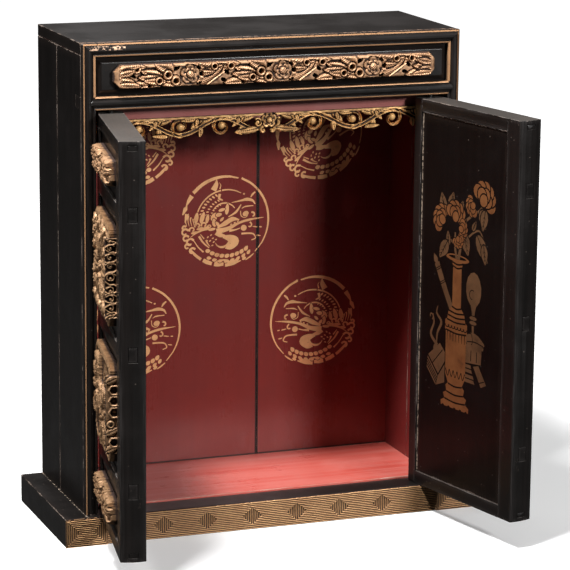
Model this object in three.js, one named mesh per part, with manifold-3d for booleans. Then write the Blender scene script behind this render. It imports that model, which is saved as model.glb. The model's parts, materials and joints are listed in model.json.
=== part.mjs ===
// Altar cabinet in black lacquer, red lacquer and gilding, with two pivoted doors.
// Millimetres, +Z up, +Y towards the back. The origin is the middle of the plinth's underside.
import * as THREE from 'three';
import { mergeVertices } from 'three/addons/utils/BufferGeometryUtils.js';
import Module from 'manifold-3d';

const wasm = await Module();
wasm.setup();

// Case and plinth
const totalHeight = 540;
const caseWidth = 427;
const caseDepth = 174;
const plinthHeight = 31;
const plinthSide = 25;
const plinthFront = 11;

// Boards of the case
const sideThickness = 13;
const sideFrontBoard = 91;
const topThickness = 12.5;
const backThickness = 12;
const backJoint = 39;
const floorThickness = 8;
const floorRise = 2;
const floorSetback = 23;

// Moulded front frame
const frameWidth = 14;
const frameDepth = 8;
const arrisChamfer = 2.4;
const beadWidth = 2.8;
const beadProud = 0.6;
const crestWidth = 7;
const crestProud = 2.2;
const quirkDepth = 0.5;
const friezeHeight = 42;
const midRailDepth = 28;
const tenonShoulder = 0.6;

// Frieze panel and its carving
const friezeFieldSet = 1.5;
const friezeEdgeSet = 6;
const friezeBevel = 6.5;
const friezeThickness = 11.5;
const friezeCarvingLength = 362;
const friezeCarvingHeight = 25;
const friezeCarvingDepth = 13;
const rosettePitch = 103.5;
const friezeRosettes = 3;
const rosetteRadius = 8.6;

// Fascia board and pierced pelmet under the middle rail
const fasciaThickness = 5.5;
const fasciaHeight = 21;
const pelmetSetback = 23;
const pelmetThickness = 5.5;
const pelmetHeight = 23;
const pelmetFillet = 2.4;
const pelmetOverlap = 5.5;
const pelmetPitch = 46.5;
const pelmetStem = 1.9;

// Doors
const leafThickness = 27;
const hingeRadius = 16.2;
const hingeGap = 1.5;
const pivotSetback = 6;
const meetingGap = 1;
const leafBottomGap = 0.8;
const leafTopGap = 4;
const hingeStileWidth = 20;
const meetingStileWidth = 24;
const meetingRound = 2;
const endRailHeight = 14;
const crossRailHeight = 17;
const smallFieldHeight = 52;
const fieldSet = 3.5;
const fieldThickness = 6;
const grooveDepth = 4;
const innerBoardSet = 1.5;
const innerBoardThickness = 5.2;
const tenonThickness = 9;
const blindTenon = 8;
const pinRadius = 3.2;
const pinSides = 8;
const pinLength = 6.5;
const pinGap = 0.4;
const pinEndGap = 0.5;
const leftOpeningDegrees = 100.1;
const rightOpeningDegrees = 102.4;

// Carvings on the doors, each set in from the edges of its field
const carvingSideMargin = 12.75;
const smallCarvingMargin = 13;
const largeCarvingMargin = 9.8;
const doorCarvingDepth = 13;
const cornerCut = 12;

// Grooves carved in the gilt front of the plinth
const grooveCut = 1.1;
const grooveWide = 1.7;
const linePitch = 5.4;
const bandMargin = 3;
const endBlock = 47;
const lozengeCount = 6;
const lozengePitch = 51;
const lozengeHalfWidth = 10.5;
const lozengeHalfHeight = 9.5;

// Clearances between neighbouring pieces, and how far a cutting shape reaches past what it cuts
const seam = 0.2;
const turnedSeam = 0.3;
const cutSpare = 6;

// Places worked out from the sizes
const halfCase = caseWidth / 2;
const frontY = (plinthFront - caseDepth) / 2;
const backY = frontY + caseDepth;
const plinthFrontY = frontY - plinthFront;
const halfPlinth = halfCase + plinthSide;
const innerHalf = halfCase - sideThickness;
const openHalf = halfCase - frameWidth;
const frameBackY = frontY + frameDepth;
const wallY = backY - backThickness;
const topUnderside = totalHeight - topThickness;
const floorTop = plinthHeight + floorRise;
const midRailTop = totalHeight - frameWidth - friezeHeight;
const midRailBottom = midRailTop - frameWidth;
const pivotX = openHalf - hingeGap - hingeRadius;
const pivotY = frontY + pivotSetback;
const leafReach = pivotX - meetingGap / 2;
const leafBottom = plinthHeight + leafBottomGap;
const leafTop = midRailBottom - leafTopGap;
const halfLeaf = leafThickness / 2;

const lacquerBlack = new THREE.MeshStandardMaterial({ color: 0x15110f, roughness: 0.35, metalness: 0 });
const lacquerRed = new THREE.MeshStandardMaterial({ color: 0x6b1f1d, roughness: 0.4, metalness: 0 });
const floorRed = new THREE.MeshStandardMaterial({ color: 0x8e3030, roughness: 0.4, metalness: 0 });
const gilding = new THREE.MeshStandardMaterial({ color: 0xc79a55, roughness: 0.38, metalness: 0.75 });

// Turns a closed three.js geometry into a solid that can be joined and cut.
function solid(geometry) {
  geometry.deleteAttribute('normal');
  geometry.deleteAttribute('uv');
  const merged = mergeVertices(geometry, 1e-4);
  const index = merged.index.array;
  const faces = [];
  for (let i = 0; i < index.length; i += 3) {
    const [a, b, c] = [index[i], index[i + 1], index[i + 2]];
    if (a !== b && b !== c && c !== a) faces.push(a, b, c);
  }
  const vertProperties = Float32Array.from(merged.attributes.position.array);
  return new wasm.Manifold(new wasm.Mesh({ numProp: 3, vertProperties, triVerts: Uint32Array.from(faces) }));
}

// A named mesh of a solid. A mirrored one is turned over the plane X = 0.
function meshOf(name, shape, material, mirrored = false) {
  const { vertProperties, triVerts } = shape.getMesh();
  const positions = Float32Array.from(vertProperties);
  const faces = Uint32Array.from(triVerts);
  if (mirrored) {
    for (let i = 0; i < positions.length; i += 3) positions[i] = -positions[i];
    for (let i = 0; i < faces.length; i += 3) [faces[i], faces[i + 1]] = [faces[i + 1], faces[i]];
  }
  const geometry = new THREE.BufferGeometry();
  geometry.setAttribute('position', new THREE.BufferAttribute(positions, 3));
  geometry.setIndex(new THREE.BufferAttribute(faces, 1));
  geometry.computeVertexNormals();
  const mesh = new THREE.Mesh(geometry, material);
  mesh.name = name;
  return mesh;
}

const joined = (shapes) => shapes.reduce((whole, shape) => whole.add(shape));

// A board between two corners.
function board(x0, x1, y0, y1, z0, z1) {
  const geometry = new THREE.BoxGeometry(x1 - x0, y1 - y0, z1 - z0);
  geometry.translate((x0 + x1) / 2, (y0 + y1) / 2, (z0 + z1) / 2);
  return solid(geometry);
}

// A prism of an outline. Along z the outline is [x, y], along x it is [y, z], along y it is [x, z].
function prism(outline, axis, from, to) {
  const points = outline.map(([a, b]) => (axis === 'y' ? new THREE.Vector2(b, a) : new THREE.Vector2(a, b)));
  const settings = { depth: to - from, bevelEnabled: false };
  const geometry = new THREE.ExtrudeGeometry(new THREE.Shape(points), settings);
  geometry.translate(0, 0, from);
  const [x, y, z] = [new THREE.Vector3(1, 0, 0), new THREE.Vector3(0, 1, 0), new THREE.Vector3(0, 0, 1)];
  const turn = new THREE.Matrix4();
  if (axis === 'x') geometry.applyMatrix4(turn.makeBasis(y, z, x));
  if (axis === 'y') geometry.applyMatrix4(turn.makeBasis(z, x, y));
  return solid(geometry);
}

// Section of the moulded frame as [distance across the face, height above it], outer edge first.
// The outer edge is a gilt chamfer on a corner of the case, or a gilt bead where both edges show.
function mouldedFace(outerBead) {
  const crestStart = (frameWidth - crestWidth) / 2 + (outerBead ? 0 : (arrisChamfer - beadWidth) / 2);
  const face = [];
  const addBead = (start) => {
    for (const [share, rise] of [[0, 0], [0.2, 0.8], [0.5, 1], [0.8, 0.8], [1, 0]]) {
      face.push([start + share * beadWidth, rise * beadProud]);
    }
  };
  if (outerBead) addBead(0);
  else face.push([0, -arrisChamfer], [arrisChamfer, 0]);
  face.push([crestStart - quirkDepth, -quirkDepth]);
  for (let i = 0; i <= 5; i += 1) {
    const angle = (Math.PI * i) / 5;
    face.push([crestStart + (crestWidth * (1 - Math.cos(angle))) / 2, crestProud * Math.sin(angle)]);
  }
  face.push([crestStart + crestWidth + quirkDepth, -quirkDepth]);
  addBead(frameWidth - beadWidth);
  return face;
}

// An upright round bar of eight sides between two heights.
function roundBar(radius, x, y, z0, z1) {
  const bar = new THREE.CylinderGeometry(radius, radius, z1 - z0, pinSides);
  bar.rotateX(Math.PI / 2);
  bar.translate(x, y, (z0 + z1) / 2);
  return solid(bar);
}

// The two bores for the door pins, from the face at z into the wood above (1) or below (-1).
function pinBores(z, direction) {
  const [mouth, end] = [z - direction, z + direction * (pinLength + pinEndGap)];
  const [low, high] = [Math.min(mouth, end), Math.max(mouth, end)];
  return joined([-pivotX, pivotX].map((x) => roundBar(pinRadius + pinGap, x, pivotY, low, high)));
}

function plinth() {
  const block = board(-halfPlinth, halfPlinth, plinthFrontY, backY, 0, plinthHeight);
  const pocketX = innerHalf;
  const pocketFront = frontY + floorSetback - seam;
  const pocketBottom = floorTop - floorThickness - seam;
  const pocket = board(-pocketX, pocketX, pocketFront, wallY, pocketBottom, plinthHeight + 1);
  return block.subtract(pocket).subtract(joined([pinBores(plinthHeight, -1), ...plinthGrooves()]));
}

// A straight groove of triangular section in the front of the plinth, from [x, z] to [x, z].
function frontGroove([x0, z0], [x1, z1]) {
  const half = grooveWide / 2;
  const upright = Math.abs(x1 - x0) < Math.abs(z1 - z0);
  const [outer, inner] = [plinthFrontY - 1, plinthFrontY + grooveCut];
  if (upright) return prism([[x0 - half, outer], [x0 + half, outer], [x0, inner]], 'z', z0, z1);
  return prism([[outer, z0 - half], [outer, z0 + half], [inner, z0]], 'x', x0, x1);
}

function plinthGrooves() {
  const grooves = [];
  const bottom = bandMargin;
  const top = plinthHeight - bandMargin;
  const middle = (bottom + top) / 2;
  const nested = (x0, x1) => {
    for (let inset = 0; middle - bottom - inset > linePitch / 2; inset += linePitch) {
      const [left, right, low, high] = [x0 + inset, x1 - inset, bottom + inset, top - inset];
      grooves.push(frontGroove([left, low], [right, low]), frontGroove([left, high], [right, high]));
      grooves.push(frontGroove([left, low], [left, high]), frontGroove([right, low], [right, high]));
    }
  };
  const field = halfPlinth - bandMargin - endBlock;
  nested(-halfPlinth + bandMargin, -field - bandMargin);
  nested(field + bandMargin, halfPlinth - bandMargin);
  nested(-field, field);
  for (let i = 0; i < lozengeCount; i += 1) {
    const centre = (i - (lozengeCount - 1) / 2) * lozengePitch;
    const rhombus = [
      [centre - lozengeHalfWidth, middle], [centre, middle - lozengeHalfHeight],
      [centre + lozengeHalfWidth, middle], [centre, middle + lozengeHalfHeight],
    ];
    grooves.push(prism(rhombus, 'y', plinthFrontY - 1, plinthFrontY + grooveCut));
  }
  return grooves;
}

function floorBoard() {
  const half = innerHalf - seam;
  return board(-half, half, frontY + floorSetback, wallY - seam, floorTop - floorThickness, floorTop);
}

// The two boards of a side, with the through mortise for the middle rail in the front one.
function sideBoards() {
  const [x0, x1] = [-halfCase, -innerHalf];
  const [z0, z1] = [plinthHeight + seam, topUnderside - seam];
  const jointY = frameBackY + sideFrontBoard;
  const mortise = board(x0 - 1, x1 + 1, ...tenonSection(-seam));
  return {
    front: board(x0, x1, frameBackY + seam, jointY, z0, z1).subtract(mortise),
    rear: board(x0, x1, jointY + seam, backY, z0, z1),
  };
}

// Low and high Y and Z of the middle rail's through tenon, made smaller by inset.
function tenonSection(inset) {
  const low = midRailBottom + tenonShoulder + inset;
  const high = midRailTop - tenonShoulder - inset;
  return [frameBackY + seam + inset, frontY + midRailDepth - inset, low, high];
}

const topBoard = () => board(-halfCase, halfCase, frameBackY + seam, backY, topUnderside, totalHeight);

function backBoards() {
  const half = innerHalf - seam;
  const [z0, z1] = [plinthHeight + seam, topUnderside - seam];
  return {
    left: board(-half, backJoint - seam, wallY, backY, z0, z1),
    right: board(backJoint + 2 * seam, half, wallY, backY, z0, z1),
  };
}

// The mitred corner line that the top rail and a stile share, as an outline around the top rail.
function topRailOutline(gap) {
  const outer = halfCase + cutSpare;
  const inner = openHalf - cutSpare;
  const top = totalHeight + cutSpare - gap;
  const low = totalHeight - frameWidth - cutSpare - gap;
  return [
    [-outer, top], [-outer, top + cutSpare], [outer, top + cutSpare],
    [outer, top], [inner, low], [-inner, low],
  ];
}

// The pointed ends of the middle rail's moulding, which the stiles are notched for.
function midRailOutline(gap) {
  const middle = (midRailBottom + midRailTop) / 2;
  const half = frameWidth / 2 + gap;
  const tip = openHalf + half;
  return [
    [-openHalf, middle - half], [openHalf, middle - half], [tip, middle],
    [openHalf, middle + half], [-openHalf, middle + half], [-tip, middle],
  ];
}

function stile() {
  const section = mouldedFace(false).map(([across, rise]) => [-halfCase + across, frontY - rise]);
  section.push([-openHalf, frameBackY], [-halfCase, frameBackY]);
  return prism(section, 'z', plinthHeight + seam, totalHeight)
    .subtract(prism(topRailOutline(turnedSeam), 'y', frontY - cutSpare, frameBackY + cutSpare))
    .subtract(prism(midRailOutline(turnedSeam), 'y', frontY - cutSpare, frameBackY + cutSpare));
}

function topRail() {
  const section = mouldedFace(false).map(([across, rise]) => [frontY - rise, totalHeight - across]);
  section.push([frameBackY, totalHeight - frameWidth], [frameBackY, totalHeight]);
  return prism(section, 'x', -halfCase, halfCase)
    .intersect(prism(topRailOutline(0), 'y', frontY - cutSpare, frameBackY + cutSpare));
}

function midRail() {
  const section = mouldedFace(true).map(([across, rise]) => [frontY - rise, midRailTop - across]);
  section.push([frameBackY, midRailBottom], [frameBackY, midRailTop]);
  const face = prism(section, 'x', -halfCase, halfCase)
    .intersect(prism(midRailOutline(0), 'y', frontY - cutSpare, frameBackY + cutSpare));
  const half = openHalf - seam;
  const body = board(-half, half, frontY + 1, frontY + midRailDepth, midRailBottom, midRailTop);
  const tenons = board(-halfCase, halfCase, ...tenonSection(0));
  return joined([face, body, tenons]).subtract(pinBores(midRailBottom, 1));
}

// A black board with bevelled edges, its middle standing forward as a raised field.
function friezePanel() {
  const half = openHalf - seam;
  const [z0, z1] = [midRailTop + seam, totalHeight - frameWidth - seam];
  const edgeY = frontY + friezeEdgeSet;
  const fieldY = frontY + friezeFieldSet;
  const slab = board(-half, half, edgeY, fieldY + friezeThickness, z0, z1);
  const field = new THREE.BoxGeometry(2 * half, edgeY - fieldY + 1, z1 - z0);
  const place = field.attributes.position;
  for (let i = 0; i < place.count; i += 1) {
    if (place.getY(i) < 0) {
      place.setX(i, place.getX(i) - Math.sign(place.getX(i)) * friezeBevel);
      place.setZ(i, place.getZ(i) - Math.sign(place.getZ(i)) * friezeBevel);
    }
  }
  field.translate(0, (fieldY + edgeY + 1) / 2, (z0 + z1) / 2);
  return slab.add(solid(field));
}

// Carvings are shaped lying flat: x along, y up the front, z out of the wood.
// This stands the mesh of one up against the plane y, centred on x and z.
function standUp(mesh, x, y, z) {
  mesh.rotation.x = Math.PI / 2;
  mesh.position.set(x, y, z);
  return mesh;
}

// A pointed leaf, raised to a hip along its middle, from its root at [x, y] in the direction of angle.
function leaf(x, y, angle, length, width, base, rise) {
  const sunk = 0.4;
  const geometry = new THREE.ConeGeometry(1, rise + sunk, 4, 1);
  geometry.rotateX(Math.PI / 2);
  geometry.rotateZ(Math.PI / 2);
  geometry.scale(length / 2, width / 2, 1);
  geometry.translate(length / 2, 0, (rise - sunk) / 2);
  geometry.rotateZ(angle);
  geometry.translate(x, y, base);
  return solid(geometry);
}

// A stem of ridged section, flat below, that follows flat points.
function stem(points, radius, base, steps) {
  const curve = new THREE.CatmullRomCurve3(points.map(([x, y]) => new THREE.Vector3(x, y, base)));
  const ring = Array.from({ length: 3 }, (_, i) => {
    const angle = (2 * Math.PI * i) / 3;
    return new THREE.Vector2(radius * 1.3 * Math.cos(angle), radius * 1.3 * Math.sin(angle));
  });
  const settings = { extrudePath: curve, steps, bevelEnabled: false };
  return solid(new THREE.ExtrudeGeometry(new THREE.Shape(ring), settings));
}

// Points of a curl that winds in from its outer radius to its bud.
function curlPoints(x, y, radius, startAngle, turns, hand, count) {
  return Array.from({ length: count }, (_, i) => {
    const share = i / (count - 1);
    const angle = startAngle + hand * share * turns * 2 * Math.PI;
    const reach = radius * (1 - 0.8 * share);
    return [x + reach * Math.cos(angle), y + reach * Math.sin(angle)];
  });
}

function bud(x, y, radius, base) {
  const geometry = new THREE.OctahedronGeometry(radius);
  geometry.translate(x, y, base);
  return solid(geometry);
}

function rosette(x, y, radius, base, depth, petals = 5) {
  const parts = [];
  for (let i = 0; i < petals; i += 1) {
    const angle = Math.PI / 2 + (2 * Math.PI * i) / petals;
    parts.push(leaf(x, y, angle, radius, radius * 0.95, base, (depth - base) * 0.75));
  }
  const boss = new THREE.CylinderGeometry(radius * 0.26, radius * 0.42, depth - base + 1, 6);
  boss.rotateX(Math.PI / 2);
  boss.translate(x, y, (base + depth - 1) / 2);
  return joined([...parts, solid(boss)]);
}

function pierced(shape, holes, depth) {
  const drills = holes.map(([x, y, radius]) => {
    const drill = new THREE.CylinderGeometry(radius, radius, depth * 3, 4);
    drill.rotateX(Math.PI / 2);
    drill.translate(x, y, 0);
    return solid(drill);
  });
  return shape.subtract(joined(drills));
}

// An oblong outline with cut corners.
function cutOblong(width, height, cut) {
  const [w, h] = [width / 2, height / 2];
  return [
    [-w + cut, -h], [w - cut, -h], [w, -h + cut], [w, h - cut],
    [w - cut, h], [-w + cut, h], [-w, h - cut], [-w, -h + cut],
  ];
}

// Leaves beside one rosette: [along, up, angle in degrees, length], as shares of the spacing and the height.
const sideLeaves = [
  [0.1, 0.22, 8, 0.28], [0.12, -0.26, -6, 0.22], [0.36, -0.3, 56, 0.17], [0.42, 0.24, -30, 0.13],
  [-0.1, 0.26, 176, 0.22], [-0.12, -0.34, 178, 0.24], [-0.13, -0.12, 158, 0.24],
];
const sideHoles = [[-0.14, 0.02], [0.1, 0.02], [-0.36, 0.2], [0.34, 0.02], [-0.43, -0.2]];

// A long carving of rosettes among leaves, with holes drilled between them.
function carvedStrip(length, height, depth, pitch, rosettes) {
  const ground = depth * 0.5;
  const parts = [prism(cutOblong(length, height, height * 0.28), 'z', 0, ground)];
  const holes = [];
  const edge = length / 2 - height * 0.22;
  for (let i = 0; i < rosettes; i += 1) {
    const centre = (i - (rosettes - 1) / 2) * pitch;
    parts.push(rosette(centre, 0, Math.min(rosetteRadius, height * 0.36), ground, depth));
    for (const [along, up, degrees, share] of sideLeaves) {
      const x = centre + along * pitch;
      const angle = THREE.MathUtils.degToRad(degrees);
      const tip = x + share * pitch * Math.cos(angle);
      if (Math.abs(tip) < edge) {
        parts.push(leaf(x, up * height, angle, share * pitch, height * 0.27, ground, depth * 0.4));
      }
    }
    for (const [along, up] of sideHoles) {
      const x = centre + along * pitch;
      if (Math.abs(x) < edge) holes.push([x, up * height, height * 0.085]);
    }
  }
  return pierced(joined(parts), holes, depth);
}

// A large carving: a blossom in the middle, leaves around it and a curl in each corner.
function carvedPanel(width, height, depth, cut) {
  const ground = depth * 0.45;
  const parts = [prism(cutOblong(width, height, cut), 'z', 0, ground)];
  const holes = [];
  const blossom = height * 0.17;
  const crown = 8;
  parts.push(rosette(0, 0, blossom, ground, depth));
  for (let i = 0; i < crown; i += 1) {
    const angle = (2 * Math.PI * (i + 0.5)) / crown;
    const length = height * (i % 4 === 1 || i % 4 === 2 ? 0.25 : 0.36);
    const [x, y] = [blossom * 1.05 * Math.cos(angle), blossom * 1.05 * Math.sin(angle)];
    parts.push(leaf(x, y, angle, length, height * 0.12, ground, depth * 0.4));
  }
  for (const [right, up] of [[1, 1], [-1, 1], [-1, -1], [1, -1]]) {
    const [x, y] = [right * (width / 2 - height * 0.19), up * (height / 2 - height * 0.19)];
    const curl = curlPoints(x, y, height * 0.13, (-up * Math.PI) / 2, 0.85, right * up, 6);
    parts.push(stem(curl, height * 0.028, ground + 0.6, 5), bud(x, y, height * 0.05, ground));
    holes.push([right * width * 0.2, up * height * 0.37, height * 0.035]);
    holes.push([right * width * 0.41, up * height * 0.08, height * 0.035]);
  }
  return pierced(joined(parts), holes, depth);
}

function fascia() {
  const half = innerHalf - seam;
  const front = frontY + pelmetSetback + pelmetThickness + seam;
  const top = midRailBottom - seam;
  return board(-half, half, front, front + fasciaThickness, top - fasciaHeight, top);
}

// Pierced scrollwork that hangs from the fascia: a waving stem with a curl in each bend.
function pelmet() {
  const half = innerHalf - 2 * seam;
  const top = pelmetHeight / 2;
  const base = pelmetThickness / 2;
  const swing = top - pelmetFillet - pelmetStem * 0.7;
  const filletLow = top - pelmetFillet;
  const parts = [board(-half, half, filletLow, top, 0, pelmetThickness)];
  const bends = Math.floor(half / pelmetPitch);
  const firstBend = 1.12;
  for (const side of [-1, 1]) {
    const wave = [];
    for (let share = 0.4; share * pelmetPitch < half; share += 1 / 5) {
      wave.push([side * share * pelmetPitch, swing * Math.cos(Math.PI * (share - firstBend))]);
    }
    parts.push(stem(wave, pelmetStem, base, Math.round(wave.length * 0.6)));
    const outward = (degrees) => THREE.MathUtils.degToRad(side > 0 ? degrees : 180 - degrees);
    for (let bend = 0; bend < bends; bend += 1) {
      const x = side * pelmetPitch * (bend + firstBend);
      const up = bend % 2 === 0 ? 1 : -1;
      if (Math.abs(x) < half - top) {
        const curl = curlPoints(x, 0, swing, (up * Math.PI) / 2, 1.05, -side * up, 7);
        parts.push(stem(curl, pelmetStem * 0.75, base, 6), bud(x, 0, pelmetStem * 1.7, base));
      }
      const crossing = side * pelmetPitch * (bend + firstBend - 0.5);
      const hung = [top * 0.1, outward(-80), top * 0.95, top * 0.48];
      const raised = [top * 0.92, outward(-28), pelmetPitch * 0.3, top * 0.52];
      for (const [up, angle, length, width] of [hung, raised]) {
        parts.push(leaf(crossing, up, angle, length, width, base, base * 0.9));
      }
    }
    parts.push(bud(side * top * 0.35, -top * 0.62, top * 0.3, base));
    const [root, reach] = [side * top * 0.43, pelmetPitch * 0.4];
    parts.push(leaf(root, -top * 0.1, outward(-20), reach, top * 0.6, base, base * 0.9));
  }
  parts.push(rosette(0, top * 0.13, top * 0.9, base / 2, pelmetThickness));
  return joined(parts).intersect(board(-half, half, -top, top, 0, pelmetThickness));
}

// One door, shaped closed with its pivot axis at X = 0, Y = 0 and its free edge towards +X.
function doorPieces() {
  const railLeft = hingeStileWidth - hingeRadius;
  const railRight = leafReach - meetingStileWidth;
  const panelLeft = railLeft - grooveDepth;
  const panelRight = railRight + grooveDepth;
  const gap = turnedSeam;
  const fieldY0 = -halfLeaf + fieldSet;
  const fieldY1 = fieldY0 + fieldThickness;
  const innerY1 = halfLeaf - innerBoardSet;
  const innerY0 = innerY1 - innerBoardThickness;
  const betweenSmallFields = leafTop - leafBottom - 2 * (endRailHeight + smallFieldHeight);
  const largeField = (betweenSmallFields - 3 * crossRailHeight) / 2;
  const fieldHeights = [smallFieldHeight, largeField, largeField, smallFieldHeight];
  const fields = [];
  const rails = [{ low: leafTop - endRailHeight, high: leafTop, back: halfLeaf }];
  for (const [i, height] of fieldHeights.entries()) {
    const high = rails[i].low;
    fields.push({ low: high - height, high });
    const last = i === fieldHeights.length - 1;
    const railHigh = high - height;
    const railLow = railHigh - (last ? endRailHeight : crossRailHeight);
    rails.push({ low: railLow, high: railHigh, back: last ? halfLeaf : innerY0 - gap });
  }

  const panelGroove = (x0, x1, z0, z1, spare) => board(
    x0 - spare, x1 + spare, fieldY0 - spare, fieldY1 + spare, z0 - spare, z1 + spare);
  const tenon = (rail, x0, x1, spare) => {
    const shoulder = rail.back < halfLeaf ? 1 : grooveDepth + 2 * gap;
    const [low, high] = [rail.low + shoulder - spare, rail.high - shoulder + spare];
    return board(x0, x1, -tenonThickness / 2 - spare, tenonThickness / 2 + spare, low, high);
  };
  const grooveLow = fields.at(-1).low - grooveDepth;
  const grooveHigh = fields[0].high + grooveDepth;

  const hingeArc = [];
  const arcEnd = Math.asin(halfLeaf / hingeRadius);
  for (let i = 0; i <= 6; i += 1) {
    const angle = Math.PI + arcEnd - (2 * arcEnd * i) / 6;
    hingeArc.push([hingeRadius * Math.cos(angle), hingeRadius * Math.sin(angle)]);
  }
  const hingeSection = [...hingeArc, [railLeft, halfLeaf], [railLeft, -halfLeaf]];
  const pins = roundBar(pinRadius, 0, 0, plinthHeight - pinLength, midRailBottom + pinLength);
  const hingeCuts = [panelGroove(panelLeft, railLeft + 1, grooveLow, grooveHigh, gap)];
  const meetingCuts = [panelGroove(railRight - 1, panelRight, grooveLow, grooveHigh, gap)];
  for (const rail of rails) {
    hingeCuts.push(tenon(rail, railLeft - blindTenon - gap, railLeft + 1, gap));
    meetingCuts.push(tenon(rail, railRight - 1, leafReach + 1, gap));
  }
  const hingeStile = prism(hingeSection, 'z', leafBottom, leafTop).add(pins).subtract(joined(hingeCuts));

  const roundEdge = [];
  for (let i = 0; i <= 4; i += 1) {
    const y = halfLeaf * (i / 2 - 1);
    roundEdge.push([leafReach - meetingRound * (y / halfLeaf) ** 2, y]);
  }
  const meetingSection = [...roundEdge, [railRight, halfLeaf], [railRight, -halfLeaf]];
  const meetingStile = prism(meetingSection, 'z', leafBottom, leafTop).subtract(joined(meetingCuts));

  const railShapes = rails.map((rail) => {
    const body = board(railLeft + gap, railRight - gap, -halfLeaf, rail.back, rail.low, rail.high);
    const through = tenon(rail, railLeft - blindTenon, leafReach - meetingRound * 0.2, 0);
    const grooves = fields
      .filter((field) => field.high === rail.low || field.low === rail.high)
      .map(({ low, high }) => panelGroove(panelLeft, panelRight, low - grooveDepth, high + grooveDepth, gap));
    return body.add(through).subtract(joined(grooves));
  });
  const fieldShapes = fields.map(({ low, high }) => board(panelLeft, panelRight, fieldY0, fieldY1,
    low - grooveDepth, high + grooveDepth));
  const innerBoard = board(railLeft + gap, railRight - gap, innerY0, innerY1,
    fields.at(-1).low + gap, fields[0].high - gap);

  const middleX = (railLeft + railRight) / 2;
  const carvingWidth = railRight - railLeft - 2 * carvingSideMargin;
  const smallHeight = smallFieldHeight - 2 * smallCarvingMargin;
  const largeHeight = largeField - 2 * largeCarvingMargin;
  const small = carvedStrip(carvingWidth, smallHeight, doorCarvingDepth, carvingWidth * 0.8, 1);
  const large = carvedPanel(carvingWidth, largeHeight, doorCarvingDepth, cornerCut);
  const carvings = [small, large, large, small];
  const carvingPlaces = fields.map(({ low, high }) => [middleX, fieldY0 - gap, (low + high) / 2]);
  return { hingeStile, meetingStile, railShapes, fieldShapes, innerBoard, carvings, carvingPlaces };
}

// A door's group, turned open about its pivot. The right door is the left one mirrored.
function doorGroup(prefix, pieces, mirrored, opening) {
  const side = mirrored ? 1 : -1;
  const group = new THREE.Group();
  const pieceOf = (name, shape, material) => meshOf(`${prefix}_${name}`, shape, material, mirrored);
  const add = (name, shape, material) => group.add(pieceOf(name, shape, material));
  add('hinge_stile', pieces.hingeStile, lacquerBlack);
  add('meeting_stile', pieces.meetingStile, lacquerBlack);
  const railNames = ['top_rail', 'upper_cross_rail', 'middle_cross_rail', 'lower_cross_rail', 'bottom_rail'];
  railNames.forEach((name, i) => add(name, pieces.railShapes[i], lacquerBlack));
  const fieldNames = ['top', 'upper', 'lower', 'bottom'];
  fieldNames.forEach((name, i) => add(`${name}_field`, pieces.fieldShapes[i], lacquerBlack));
  fieldNames.forEach((name, i) => {
    const [x, y, z] = pieces.carvingPlaces[i];
    group.add(standUp(pieceOf(`${name}_carving`, pieces.carvings[i], gilding), -side * x, y, z));
  });
  add('inner_board', pieces.innerBoard, lacquerBlack);
  group.position.set(side * pivotX, pivotY, 0);
  group.rotation.z = side * THREE.MathUtils.degToRad(opening);
  return group;
}

const cabinet = new THREE.Group();
cabinet.add(meshOf('plinth', plinth(), lacquerBlack));
cabinet.add(meshOf('floor_board', floorBoard(), floorRed));
const sides = sideBoards();
const stileShape = stile();
for (const [name, mirrored] of [['left', false], ['right', true]]) {
  cabinet.add(meshOf(`${name}_side_front_board`, sides.front, lacquerBlack, mirrored));
  cabinet.add(meshOf(`${name}_side_rear_board`, sides.rear, lacquerBlack, mirrored));
  cabinet.add(meshOf(`${name}_stile`, stileShape, lacquerBlack, mirrored));
}
cabinet.add(meshOf('top_board', topBoard(), lacquerBlack));
const backs = backBoards();
cabinet.add(meshOf('back_board_left', backs.left, lacquerRed));
cabinet.add(meshOf('back_board_right', backs.right, lacquerRed));
cabinet.add(meshOf('top_rail', topRail(), lacquerBlack));
cabinet.add(meshOf('middle_rail', midRail(), lacquerBlack));
cabinet.add(meshOf('frieze_panel', friezePanel(), lacquerBlack));
const friezeShape = carvedStrip(
  friezeCarvingLength, friezeCarvingHeight, friezeCarvingDepth, rosettePitch, friezeRosettes);
const friezeZ = midRailTop + friezeHeight / 2;
const friezeY = frontY + friezeFieldSet - seam;
cabinet.add(standUp(meshOf('frieze_carving', friezeShape, gilding), 0, friezeY, friezeZ));
cabinet.add(meshOf('fascia_board', fascia(), lacquerRed));
const pelmetZ = midRailBottom - seam - fasciaHeight + pelmetOverlap - pelmetHeight / 2;
const pelmetY = frontY + pelmetSetback + pelmetThickness;
cabinet.add(standUp(meshOf('pelmet', pelmet(), gilding), 0, pelmetY, pelmetZ));
const door = doorPieces();
cabinet.add(doorGroup('left_door', door, false, leftOpeningDegrees));
cabinet.add(doorGroup('right_door', door, true, rightOpeningDegrees));

export default cabinet;
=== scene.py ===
"""Looks of a small altar cabinet: lacquer, gilt carving and gold painting around its solids.

Metres, in the cabinet's own frame: +Z up, -Y out of the doors, origin under the middle of the plinth.
"""
import json
import logging
import math
from collections.abc import Callable, Iterable, Sequence
from dataclasses import dataclass, replace
from enum import Enum

import bpy
import numpy as np
from mathutils import Matrix, Vector
from mathutils.geometry import delaunay_2d_cdt


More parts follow.
